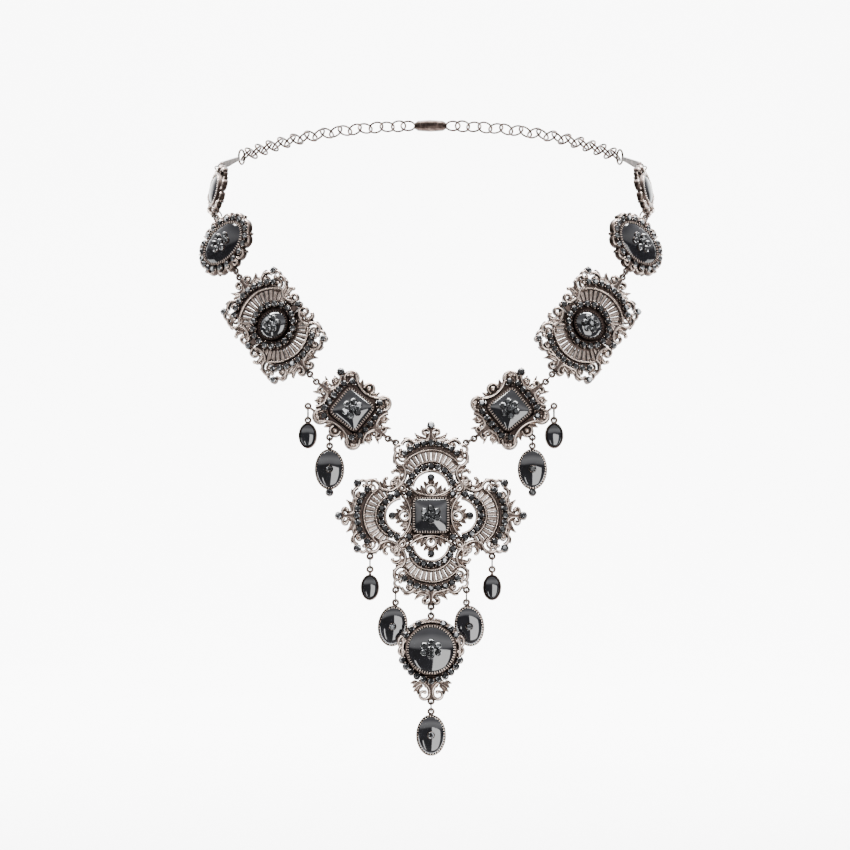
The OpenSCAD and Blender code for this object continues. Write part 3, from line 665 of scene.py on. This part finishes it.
# The arm motif, half of it at x > 0, from the middle of the cross outwards along y. It also ends a fan
# link. A slat's steps are the way from its inner end and the share of its width there.
arm = dict(
    fanHub=(0, 11.2), fanRadius=11.6, fanHalf=69, slats=14, slatIn=7.3, slatReach=9.3, slatFill=0.9,
    slatSteps=[(0, 0.3), (0.15, 0.75), (0.4, 0.95), (0.8, 1)], slatTip=0.3,
    # the slats' low sides are painted dark as shade in the narrow gaps between them
    slatProfile=[(-1, 0.1, 0.0), (-1, 0.8, 0.1), (-0.85, 1.0, 0.7), (-0.45, 1.09, 0.8), (0, 1.12, 0.8),
                 (0.45, 1.09, 0.8), (0.85, 1.0, 0.7), (1, 0.8, 0.1), (1, 0.1, 0.0)],
    beads=(11.6, 38.5, 89, 0.56, 1.86, 0.27),  # radius, first and last angle, pitch, height, size
    bands=[(0, 11.2, 11.6, 11.6, 38, 90, 0.95, 0.95),
           (0, 12.2, 14.1, 14.1, 66, 90, 0.9, 0.9), (7.6, 24.2, 2.0, 2.4, 150, 10, 0.9, 1.0),
           (11.1, 22.9, 1.7, 0.7, 120, -170, 0.9, 0.6), (9.6, 20.2, 2.9, 2.9, 45, -95, 0.9, 0.9),
           (12.6, 14.6, 3.9, 3.9, 128, 232, 1.0, 1.0), (11.2, 12.7, 1.9, 0.7, 220, 480, 1.0, 0.7),
           (2.6, 28.7, 3.1, 2.1, -45, -180, 0.9, 0.9), (1.95, 28.95, 1.45, 0.55, -190, -440, 0.9, 0.7)],
    leaves=[(9.0, 15.0, 13.3, 15.7, 1.3, 0.35), (9.3, 16.2, 12.1, 17.2, 1.1, 0.2),
            (1.0, 26.7, 5.6, 28.8, 1.7, -0.9), (2.6, 26.3, 5.9, 26.7, 1.2, -0.2),
            (6.6, 25.9, 9.4, 27.0, 1.1, 0.3), (11.6, 20.6, 12.9, 18.4, 1.1, 0.2),
            (7.4, 19.2, 10.2, 17.4, 1.0, -0.3), (3.2, 26.1, 4.4, 28.0, 1.0, 0.2),
            (0.6, 27.0, 2.2, 30.2, 0.9, -0.3), (10.0, 12.6, 9.0, 14.8, 1.0, 0.2)],
    webs=[(0, 11.7, 12.4, 12.4, 42, 90, 2.0, 2.0), (0, 10.2, 7.65, 7.65, 20, 90, 1.5, 1.5)],
    filling=[(9.5, 20.3, 1.7, 0.5, 60, -330, 0.7, 0.5), (7.5, 24.3, 1.1, 0.4, 180, -200, 0.7, 0.5),
             (12.3, 14.9, 2.2, 0.8, 235, 20, 0.7, 0.6), (5.2, 25.2, 1.3, 0.4, 20, 380, 0.7, 0.5)],
    neck=([(-0.05, 26.2), (0.9, 26.2), (0.5, 28.2), (0.5, 30.4), (-0.05, 30.4)], 0, level["relief"]),
    innerStones=arcRow(0, 9.4, 7.7, 90, 16, 5), outerStones=arcRow(0, 12.2, 13.0, 90, 46.5, 5),
    moon=(0, 13.2), corner=(11.3, 25.0), crest=(0, 31.3), heart=(7.4, 7.4))
cross = dict(
    stone=(5.9, 5.9, 9), dome=(5.85, 5.85, 9), domeHigh=2.6, bezel=dict(wall=0.5), teeth=dict(wall=0.5),
    flower=dict(radii=(2.5, 2.1)),
    eyes=[(12, 25.5), (-12, 25.5), (12, -25.5), (-12, -25.5), (20.7, -13.9), (-20.7, -13.9), (0, -31.3)],
    slabs=[([(5.9, 7.1), (7.1, 5.9), (10.1, 9.1), (9.1, 10.1)], 0.08, 1.4),
           (disc(6.5, 6.5, 1.7), 0.1, 0.95, 0.3)],
    bands=[(0, 11.2, 7.6, 7.6, 20, 90, 0.8, 0.8), (12.0, 11.0, 1.1, 0.4, 250, -120, 0.7, 0.5),
           (0, 9.4, 6.25, 6.25, 8, 90, 0.7, 0.7), (9.3, 10.2, 1.5, 1.2, -110, 110, 0.8, 0.7),
           (0, 17, 10.1, 10.1, -90, -45, 0.8, 0.8), (0, 9.1, 1.7, 1.7, -90, 90, 0.8, 0.8)],
    palmette=[(2.7, 6.9, 4.7, 8.9, 1.2, -0.3), (2.5, 6.9, 3.5, 10.7, 1.5, 0.2),
              (3.4, 6.6, 6.4, 8.4, 1.1, -0.4), (1.5, 9.6, 2.4, 12.0, 1.1, 0.2),
              (0.5, 10.4, 0.9, 12.3, 1.0, 0.1), (3.0, 6.8, 5.0, 10.0, 1.2, -0.2),
              (8.4, 8.6, 11.6, 9.0, 1.1, 0.2), (9.6, 11.4, 10.4, 14.0, 1.0, 0.2),
              (7.2, 8.8, 8.6, 11.2, 1.0, 0.2)],
    palmetteStyle=dict(height=1.5, blunt=0.6), ball=((0, 8.7), 0.75, 1.3),
    stem=([(-0.05, 10.5), (0.4, 10.5), (0.4, 12.6), (-0.05, 12.6)], 0.05, 1.6),
    beads=(7.55, 21, 89, 0.56, 1.86, 0.25))  # radius, first and last angle, pitch, height, size


def addSlats(sheaf):
    # bars that widen outwards, with a round head and a low crown, spread evenly about the fan's hub:
    # point = hub + the turn of (r tan(half pitch) side, r), height from the bar's profile
    pitch = 2 * arm["fanHalf"] / arm["slats"]
    tangent = math.tan(math.radians(pitch * arm["slatFill"] / 2))
    steps, head = np.array(arm["slatSteps"] + [(0, 1), (0, 1)]).T
    side, rise, relief = np.array(arm["slatProfile"]).T
    for k in range(arm["slats"] // 2):
        turn = math.radians(pitch * (k + 0.5))
        reach = min(arm["fanRadius"], arm["slatReach"] / math.sin(turn))
        r = np.concatenate([arm["slatIn"] + steps[:-2], [reach - arm["slatTip"], reach]])[:, None]
        x, y = tangent * r * side * head[:, None], r * np.ones(len(side))
        c, s = math.cos(turn), math.sin(turn)
        points = np.stack([arm["fanHub"][0] + c * x + s * y, arm["fanHub"][1] - s * x + c * y,
                           np.broadcast_to(rise, x.shape)], -1)
        sheaf.addTube(points, relief)


def halfArm(onCross):
    # the arm's bands, webs, leaves, slats and beads; the cross adds its inner arc and palmette
    half = Sheaf()
    addEach(addBand, half, arm["bands"] + (cross["bands"] if onCross else []))
    addEach(addBand, half, arm["webs"], **plateBand)
    addEach(addBand, half, arm["filling"], **fineBand)
    addEach(addLeaf, half, arm["leaves"])
    if onCross:
        addBeads(half, arm["fanHub"], *cross["beads"])
        addEach(addLeaf, half, cross["palmette"], **cross["palmetteStyle"])
        addSlab(half, *cross["stem"])
        addBall(half, *cross["ball"])
    addSlab(half, *arm["neck"])
    addSlats(half)
    addBeads(half, arm["fanHub"], *arm["beads"])
    return half


quarters = (0, 90, 180, 270)
# the sides of a piece: how its name ends, how its node's name ends, whether it is mirrored
middle = [("", "", False)]
both = [("Left", "_left", False), ("Right", "_right", True)]


def makeLink(base, link, metal, stones, dome, glass=cabochonGlass, sides=both, gems=False):
    # the casting, its small stones and its large stone, with the mirror images where there are two sides
    for side, tail, flip in sides:
        cad = [link + part + tail for part in ("_frame", "_gems", "_stone")]
        makePiece(base + "Casting" + side, metal, link, castMetal, cad[:1], flip=flip)
        if stones.count:
            makePiece(base + "SmallStones" + side, stones, link, facetGlass,
                      cad[1:2] if gems else [], False, flip)
        makePiece(base + "Cabochon" + side, dome, link, glass, cad[2:], flip=flip)


def makeCross():
    # the arm four times about the middle, each half mirrored, round a cushion-shaped stone
    metal, stones, dome = Sheaf(), Sheaf(), Sheaf()
    half = halfArm(True)
    for turn in quarters:
        metal.mergeBoth(half, [turn])
        for outline, *rest in cross["slabs"]:
            addSlab(metal, turned(outline, turn), *rest)
    armRow = bothOf(arm["innerStones"] + arm["outerStones"] + [arm["moon"]])
    places, large = [], [arm["crest"]]
    for turn in quarters:
        places += turned(armRow + [arm["heart"]], turn)
    for turn in (90, -90):
        large += turned(bothOf([arm["corner"], arm["crest"]]), turn)
    for spots, wide in ((places, 1.0), (large, gem["large"])):
        addCups(metal, spots, wide=wide)
        addStones(stones, spots, wide=wide)
    addSetting(metal, stones, dome, cross)
    makeLink("cross", "cross", metal, stones, dome, sides=middle, gems=True)


makeCross()
print("cross made")


fan = dict(
    stone=(5.0, 4.5, 2), domeHigh=2.6, flower=dict(radii=(2.25, 2.0), wide=1.15),
    bezel=dict(top=2.3, shine=0.5), teeth=dict(top=2.3, reach=0.2, shine=0.45), eyes=[(0, 22.4), (0, -22.4)],
    shift=9.3, ring=(7.5, 7.5, 90, 18), side=(11.3, 0),
    slab=([(8.2, -1.2), (11.2, -0.6), (11.2, 0.6), (8.2, 1.2)], 0.02, 1.5),
    underRing=[(5.5, 0.15, 0), (8.9, 0.15, 0), (8.9, 0.95, 0.2), (5.5, 0.95, 0.1)],
    curlPlate=(disc(9.5, 3.0, 1.7), 0.1, 0.9, 0.3), curlStyle=dict(height=1.5, lip=0.12, step=0.3),
    curls=[(9.6, 2.9, 1.0, 0.4, -100, 300, 0.8, 0.6), (8.8, 4.6, 0.8, 0.4, 200, -60, 0.7, 0.5)])


def makeFan():
    # two arms end to end, a flat ring under the round row of stones, and curls in the four gaps
    metal, stones, dome, curls = Sheaf(), Sheaf(), Sheaf(), Sheaf()
    half = halfArm(False)
    for turn, shift in ((0, -fan["shift"]), (180, fan["shift"])):
        metal.mergeBoth(half, [turn], (0, shift, 0))
    addSlab(curls, *fan["curlPlate"])
    addEach(addBand, curls, fan["curls"], **fan["curlStyle"])
    outline, *rest = fan["slab"]
    for side in (1, -1):
        addSlab(metal, np.array(outline) * (side, 1), *rest)
    ring, _, relief = lathe(fan["underRing"], 64)
    metal.add(ring, outward(ring, [gridFaces(4, 64, wrapRows=True)]), relief)
    ends = [(x, y - fan["shift"]) for x, y in bothOf(arm["outerStones"] + [arm["corner"]])]
    places = ovalRow(*fan["ring"]) + ends + turned(ends, 180) + bothOf([fan["side"]])
    addCups(metal, places)
    addStones(stones, places)
    metal.mergeBoth(curls, (0, 180))
    addSetting(metal, stones, dome, fan)
    makeLink("fan", "fan", metal, stones, dome, gems=True)


makeFan()
print("fan links made")

square = dict(
    stone=(5.5, 5.5, 8), domeHigh=2.6, bezel=dict(shine=0.75), teeth=dict(shine=0.8),
    flower=dict(radii=(2.6, 2.3)), eyes=[(0, 15.6), (0, -15.8), (-12.2, 0), (-8.4, 12.5)],
    ball=(7.8, 11.2), row=[(0, 7.9), (2.65, 7.85), (5.3, 7.75), (7.7, 6.0)],
    stem=[(7.8, 9.0), (8.8, 9.0), (8.7, 11.4), (8.1, 11.4)], stemHigh=(0, 1.1), knob=((0, 9.3), 1.0, 1.2),
    under=(disc(6.3, 6.3, 1.6), 0.1, 0.95, 0.3), lobeBalls=[((9.5, 7.4), 0.72, 1.2), ((8.5, 8.7), 0.72, 1.2)],
    neck=([(-0.05, 9.2), (0.8, 9.2), (0.45, 14.7), (-0.05, 14.7)], 0, level["relief"]),
    filling=[(9.3, 7.7, 0.8, 0.35, 100, -260, 0.5, 0.4), (4.6, 10.6, 1.2, 0.4, 200, -160, 0.7, 0.5)],
    fillLeaves=[(2.2, 9.2, 2.4, 11.6, 1.0, 0.2), (6.0, 8.2, 7.2, 10.2, 1.0, 0.2),
                (1.0, 12.2, 3.4, 14.4, 1.0, -0.4), (5.8, 6.0, 8.2, 8.4, 1.5, 0.0)], fillLeafHigh=1.5)
chainSide = dict(
    under=(disc(8.4, 7.0, 2.4), 0.1, level["plate"], 0.35),
    bands=[(3.6, 14.0, 4.9, 4.9, -140, -48, 0.9, 0.9), (8.4, 7.0, 2.3, 2.3, -80, 140, 1.0, 1.0),
           (2.5, 11.9, 2.6, 1.5, -75, -190, 0.9, 0.9), (1.5, 12.4, 1.3, 0.55, -180, -430, 0.9, 0.7)],
    leaves=[(3.4, 9.2, 5.5, 12.1, 1.3, -0.3), (3.2, 9.4, 3.9, 12.0, 1.0, 0.2)],
    plate=([(-0.05, 6.3), (6.2, 6.3), (6.2, 8.0), (3.6, 9.2), (-0.05, 9.6)], 0.05, level["plate"], 0.3))
knobSide = dict(
    under=(disc(0, 9.3, 1.8), 0.1, level["plate"], 0.35),
    bands=[(0, 15.8, 8.5, 8.5, -90, -41, 0.9, 0.9), (0, 9.3, 1.7, 1.7, -30, 90, 0.9, 0.9)],
    leaves=[(2.0, 8.2, 3.7, 10.6, 1.3, -0.2), (2.8, 8.0, 5.0, 9.6, 1.1, -0.2)],
    plate=([(-0.05, 6.3), (5.2, 6.3), (4.4, 8.0), (2.2, 8.9), (-0.05, 9.8)], 0.05, level["plate"], 0.3))


def halfSide(side):
    # half of one side, at x > 0, looking along +y, on the plates that close its hollows
    half = Sheaf()
    addSlab(half, *side["under"])
    addSlab(half, *square["under"])
    addEach(addBand, half, side["bands"])
    addEach(addLeaf, half, side["leaves"])
    addSlab(half, *side["plate"])
    return half


def makeSquare():
    # two sides with lobes and a neck for the chain, two with a knob, round a cushion-shaped stone
    metal, stones, dome = Sheaf(), Sheaf(), Sheaf()
    chain = halfSide(chainSide)
    addSlab(chain, *square["neck"])
    addEach(addBand, chain, square["filling"], **narrowBand)
    addEach(addLeaf, chain, square["fillLeaves"], height=square["fillLeafHigh"])
    for ball in square["lobeBalls"]:
        addBall(chain, *ball)
    metal.mergeBoth(chain, (0, 180))
    metal.mergeBoth(halfSide(knobSide), (90, 270))
    knob, *rest = square["knob"]
    for turn in (90, 270):
        addBall(metal, turned([knob], turn)[0], *rest)
    stem = np.array(square["stem"])
    for outline in (stem, stem[::-1] * (-1, 1)):
        addSlab(metal, outline, *square["stemHigh"])
    places = bothOf(square["row"]) + turned(bothOf(square["row"]), 180)
    for spots, wide in ((places, 1.0), ([square["ball"]], gem["large"])):
        addCups(metal, spots, wide=wide)
        addStones(stones, spots, wide=wide)
    addSetting(metal, stones, dome, square)
    makeLink("square", "square", metal, stones, dome)


makeSquare()
print("square links made")

oval = dict(
    stone=(9.0, 6.5, 2), domeHigh=2.6, flower=dict(radii=(3.0, 2.3)), eyes=[(0, 12.2), (0, -12.2)],
    row=ovalRow(10.7, 8.2, 9, 20), plate=(rim(11.2, 8.7, 2, allRound(72))[0], 0.15, 1.0, 0.25),
    bands=[(8.4, 0, 3.5, 3.5, -4, 66, 0.9, 0.9), (8.3, 4.8, 1.9, 1.9, -20, 150, 0.9, 0.9),
           (4.4, 7.6, 1.8, 1.8, -10, 165, 0.9, 0.9), (1.75, 9.4, 1.4, 0.55, -130, -430, 0.9, 0.7)],
    leaves=[(10.0, 2.8, 11.8, 4.0, 1.2, 0.2), (5.8, 7.8, 7.2, 8.9, 1.2, -0.2)],
    slabs=[([(-0.05, 8.2), (1.0, 8.2), (0.5, 9.6), (0.5, 10.6), (-0.05, 10.6)], 0, level["relief"]),
           ([(-0.05, 10.4), (0.5, 10.4), (0.5, 11.2), (-0.05, 11.2)], 0, 1.1)])
small = dict(
    stone=(4.6, 6.2, 2), domeHigh=2.08, eyes=[(0, 10.2), (0, -10.2)],
    bands=[(6.0, 3.1, 1.5, 1.5, -40, 150, 0.8, 0.8), (3.4, 6.8, 1.6, 1.6, -20, 150, 0.8, 0.8),
           (1.5, 8.4, 1.2, 0.5, -130, -420, 0.8, 0.6)],
    leaves=[(5.6, 0.2, 8.2, 1.2, 1.2, 0.1), (2.2, 8.0, 4.2, 9.8, 1.1, -0.3)],
    slabs=[([(-0.05, 7.0), (0.9, 7.0), (0.5, 8.4), (0.5, 9.4), (-0.05, 9.4)], 0, level["relief"])])


def makeOvalLink(base, link, table, glass):
    # four mirrored quarters of scrollwork round an oval stone
    metal, stones, dome, quarter = Sheaf(), Sheaf(), Sheaf(), Sheaf()
    addEach(addBand, quarter, table["bands"])
    addEach(addLeaf, quarter, table["leaves"])
    for slab in table["slabs"]:
        addSlab(quarter, *slab)
    metal.mergeBoth(quarter, (0, 180))
    if "row" in table:
        addSlab(metal, *table["plate"])
        addCups(metal, table["row"])
        addStones(stones, table["row"])
    addSetting(metal, stones, dome, table)
    makeLink(base, link, metal, stones, dome, glass)


makeOvalLink("oval", "oval", oval, deepGlass)
makeOvalLink("smallLink", "small", small, dullGlass)
print("oval and small links made")

roundPendant = dict(
    stone=(8.0, 8.0, 2), domeHigh=2.9, bezel=dict(top=2.7, count=128), teeth=dict(top=2.7),
    flower=dict(radii=(2.75, 2.3)), eyes=[(0, 11.7), (0, -17.3)],
    plate=(disc(0, 0, 9.5, 64), 0.1, 1.0, 0.15), bandHigh=1.75,
    beads=(9.65, 70, 88, 1.0, 1.55, 0.42),  # radius, first and last angle, pitch, height, size
    bands=[(0, 0, 9.7, 9.7, -62, 90, 1.3, 1.3), (9.1, 3.0, 2.0, 1.8, -60, 122, 0.9, 0.9),
           (9.6, -0.5, 1.6, 0.6, 90, -180, 0.9, 0.6), (2.5, -14.9, 2.1, 0.8, 150, 480, 1.0, 0.7),
           (4.6, -14.6, 4.1, 4.1, 95, 185, 0.9, 0.9), (0, 0, 10.5, 10.5, 40, 84, 0.8, 0.8)],
    filling=[(9.0, 3.1, 1.1, 0.4, 150, -200, 0.6, 0.5), (9.4, -0.8, 0.8, 0.35, 60, 400, 0.5, 0.4)],
    leaves=[(2.9, -11.7, 5.9, -14.1, 1.6, 0.2), (3.4, -10.9, 6.3, -12.7, 1.6, 0.2),
            (1.6, -12.6, 2.6, -11.0, 1.1, 0.2), (4.4, -11.0, 7.0, -11.2, 1.2, 0.3),
            (3.6, -12.4, 4.6, -15.0, 1.0, 0.3)],
    neck=([(-0.05, -9.4), (2.6, -9.6), (2.4, -11.4), (0.6, -12.4), (0.5, -16.4), (-0.05, -16.4)],
          0, 1.5, 0.45),
    loop=([(-0.05, 9.6), (1.2, 9.6), (0.9, 11.2), (-0.05, 11.2)], 0.05, level["plate"]),
    row=[(4.2, 8.9), (6.7, 7.2), (8.5, 5.0), (9.7, -3.4), (8.4, -5.6), (6.7, -7.4), (4.8, -8.8),
         (2.5, -10.0), (0, -10.7)])


def makeRound():
    # a mirrored half of scrollwork round a round stone, with a loop at the top and a neck below
    metal, stones, dome, half = Sheaf(), Sheaf(), Sheaf(), Sheaf()
    addEach(addBand, half, roundPendant["bands"], height=roundPendant["bandHigh"])
    addEach(addBand, half, roundPendant["filling"], **narrowBand)
    addEach(addLeaf, half, roundPendant["leaves"])
    addSlab(half, *roundPendant["neck"])
    addSlab(half, *roundPendant["loop"])
    addBeads(half, (0, 0), *roundPendant["beads"])
    metal.mergeBoth(half)
    places = bothOf(roundPendant["row"])
    addCups(metal, places)
    addStones(stones, places)
    addSlab(metal, *roundPendant["plate"])
    addSetting(metal, stones, dome, roundPendant)
    makeLink("round", "round", metal, stones, dome, sides=middle, gems=True)


makeRound()
print("round pendant made")

# the stone's half width, half height and power, its dome, and whether it has teeth and a middle stone
largeDrop = dict(stone=(4.4, 6.3, 2), domeHigh=2.2, toothed=True)
smallDrop = dict(stone=(2.5, 3.75, 2), domeHigh=1.4, toothed=False)
setting = dict(
    top=1.9, wall=0.62, around=72, stemLow=0.55, stemTop=0.4, stemShort=0.9, stemHigh=(0, 1.1),
    # the middle stone: its cup's sides, width and depth, and how both stand on the dome
    cup=(14, 1.05, 0.5), cupTone=0.7, cupLift=0.1, stoneSize=(1.05, 1.05, 0.9), stoneLift=0.12,
    # the hanging stone: distance below the rim, and the feet of its cup and of itself
    ball=1.6, ballFoot=-0.05, ballStone=1.99)
# kind, whether a stone in its cup hangs below it, sides
drops = {
    "drop_tip": (largeDrop, False, middle), "drop_inner": (largeDrop, False, both),
    "drop_arm": (smallDrop, False, both), "drop_square": (largeDrop, True, both),
    "drop_side": (smallDrop, False, both)}


def makeDrop(name, kind, ball, sides):
    # a plain oval setting on a short stem with its eyelet
    metal, stones, dome = Sheaf(), Sheaf(), Sheaf()
    wall, top, b = setting["wall"], setting["top"], kind["stone"][1]
    section = [
        (0.1, 0.0, 0.0), (wall, 0.0, 0.0), (wall + 0.06, 0.35, 0.3), (wall, 0.8, 0.1),
        (wall, top - 0.22, 0.2), (wall - 0.14, top - 0.04, 0.45), (0.25, top - 0.03, 0.3),
        (0.11, top - 0.2, 0.1), (0.1, 1.0, 0.0)]
    addWall(metal, *kind["stone"], section, setting["around"])
    if kind["toothed"]:
        addTeeth(metal, *kind["stone"], top, wall=wall)
    eyeTop, low, high = hangs[name]["top"], setting["stemLow"], setting["stemTop"]
    end = eyeTop - setting["stemShort"]
    addSlab(metal, [(-low, b), (low, b), (high, end), (-high, end)], *setting["stemHigh"])
    addRings(metal, [(0, eyeTop)])
    addDome(dome, *kind["stone"], kind["domeHigh"], setting["around"])
    if kind["toothed"]:
        foot = level["stoneFoot"] + kind["domeHigh"]
        cup, faces, relief = lowCup(*setting["cup"])
        metal.scatter(cup, faces, relief * setting["cupTone"], [(0, 0, foot + setting["cupLift"])])
        stone = stoneShape() * setting["stoneSize"]
        stones.scatter(stone, stoneFaces(), 1.0, [(0, 0, foot + setting["stoneLift"])])
    if ball:
        below = [(0, -b - setting["ball"])]
        addCups(metal, below, setting["ballFoot"], gem["large"])
        addStones(stones, below, setting["ballStone"], gem["large"])
    base = "drop" + name.split("_")[1].capitalize()
    for side, tail, flip in sides:
        makePiece(base + "Setting" + side, metal, name, castMetal, [name + tail], flip=flip)
        large = [name + "_stone" + tail]
        makePiece(base + "Cabochon" + side, dome, name, cabochonGlass, large, flip=flip)
        if stones.count:
            makePiece(base + "SmallStone" + side, stones, name, facetGlass, [], False, flip)


for dropName, row in drops.items():
    makeDrop(dropName, *row)
print("drops made")

wires = ("jump_rings_left", "jump_rings_right", "jump_rings_middle", "chain_left", "chain_right", "clasp")
for node in wires:
    nodes[node].data.materials.clear()
    nodes[node].data.materials.append(wireMetal)

# Stage: a pale floor that sweeps up into a backdrop, as one sheet bent along a quarter circle, and a wide
# sheet just under it that only the camera sees, so that the polished stones keep their dark lower half
stage = dict(
    front=-0.17, bend=1.3, radius=0.6, floor=-0.27, top=2.4, half=2.6, wide=6.0, under=0.0005,
    clouds=6.0, tones=[(0.3, (0.895, 0.894, 0.892)), (0.7, (0.92, 0.92, 0.918))], rough=0.9)


def paperSheet(name, points, faces, material):
    # a smooth mesh of the floor, not part of the object
    mesh = bpy.data.meshes.new(name)
    mesh.from_pydata(points.reshape(-1, 3).tolist(), [], faces.tolist())
    mesh.polygons.foreach_set("use_smooth", np.full(len(mesh.polygons), True))
    mesh.materials.append(material)
    sheet = bpy.data.objects.new(name, mesh)
    bpy.context.collection.objects.link(sheet)
    return sheet


def makeStage():
    # the floor and backdrop, and the wide sheet under them
    material, tree, shader, start = newMaterial("palePaper")
    plug(tree, shader, "Base Color", rampOf(noiseOf(start, stage["clouds"]), stage["tones"]))
    shader.inputs["Roughness"].default_value = stage["rough"]
    # straight run, then (sin a, 1 - cos a) times the radius, then straight up
    a, end = np.linspace(0, math.pi / 2, 24), stage["bend"] + stage["radius"]
    y = np.concatenate([[stage["front"]], stage["bend"] + stage["radius"] * np.sin(a), [end]])
    z = np.concatenate([[0], stage["radius"] * (1 - np.cos(a)), [stage["top"]]]) + stage["floor"]
    half = stage["half"]
    points = np.stack([np.column_stack([np.full(len(y), x), y, z]) for x in (-half, half)])
    faces = gridFaces(2, len(y), wrapCols=False)[:, ::-1]
    floor = paperSheet("paleFloor", points, faces, material)
    wide, low = stage["wide"], stage["floor"] - stage["under"]
    corners = np.array([(-wide, -wide, low), (wide, -wide, low), (wide, wide, low), (-wide, wide, low)])
    apron = paperSheet("paleApron", corners, np.array([[0, 1, 2, 3]]), material)
    apron.visible_glossy = apron.visible_diffuse = apron.visible_shadow = False
    return floor, apron


def areaLight(name, place, target, size, power, spared=None):
    # a rectangular lamp turned to its target; the camera doesn't see it
    light = bpy.data.lights.new(name, "AREA")
    light.shape, light.size, light.size_y = "RECTANGLE", size[0], size[1]
    light.energy = power
    lamp = bpy.data.objects.new(name, light)
    bpy.context.collection.objects.link(lamp)
    away = np.array(target) - np.array(place)
    lamp.location = place
    lamp.visible_camera = False
    lamp.rotation_euler = Vector(away).to_track_quat("-Z", "Y").to_euler()
    if spared:  # sheets that this lamp doesn't light, so that its own edge draws no line on them
        group = bpy.data.collections.new(name + "Spares")
        for sheet in spared:
            group.objects.link(sheet)
        lamp.light_linking.receiver_collection = group
        for entry in group.collection_objects:
            entry.light_linking.link_state = "EXCLUDE"


lamps = dict(
    panel=dict(place=(0.56, -1.2, -0.55), target=(0.56, 0, -0.55), size=(1.0, 1.3), power=26),
    side=dict(place=(-0.72, -1.1, -0.75), target=(-0.05, -0.13, -0.2), size=(0.16, 0.7), power=2.5),
    back=dict(place=(0, 0.5, 1.6), target=(0, 1.4, -0.2), size=(2.2, 1.2), power=440))

sheets = makeStage()
for lampName, lamp in lamps.items():
    areaLight(lampName, **lamp, spared=sheets if lampName == "panel" else None)

# Sky: dark up to a sharp horizon, bright just above it and dimmer towards the top, by a direction's height
world = bpy.data.worlds.new("studio")
bpy.context.scene.world = world
world.use_nodes = True
sky, skyStrength = world.node_tree, 1.2
direction = Socket(sky, sky.nodes.new("ShaderNodeTexCoord").outputs["Generated"])
height = Socket(sky, direction.node("ShaderNodeSeparateXYZ", None, Vector=direction).outputs["Z"])
glow = rampOf(height * 0.5 + 0.5, [
    (0.0, (0.3, 0.29, 0.28)), (0.3, (0.12, 0.12, 0.12)), (0.62, (0.09, 0.09, 0.09)),
    (0.655, (0.9, 0.9, 0.92)), (0.74, (1.3, 1.3, 1.32)), (0.86, (0.5, 0.5, 0.52)), (1.0, (0.6, 0.6, 0.62))])
sky.links.new(glow.link, sky.nodes["Background"].inputs["Color"])
sky.nodes["Background"].inputs["Strength"].default_value = skyStrength

# Camera at the photo's angle: 0.34 mm a pixel at the cross, so the frame is 289 mm wide 1.5 m away
view = dict(sensor=36, away=1500, wide=289, place=(-0.00204, -1.635, -0.111))
camera = bpy.data.cameras.new("camera")
camera.sensor_width, camera.lens = view["sensor"], view["sensor"] * view["away"] / view["wide"]
viewer = bpy.data.objects.new("camera", camera)
bpy.context.collection.objects.link(viewer)
viewer.location = view["place"]
viewer.rotation_euler = (math.pi / 2, 0, 0)
bpy.context.scene.camera = viewer
print("stage, lights and camera made")
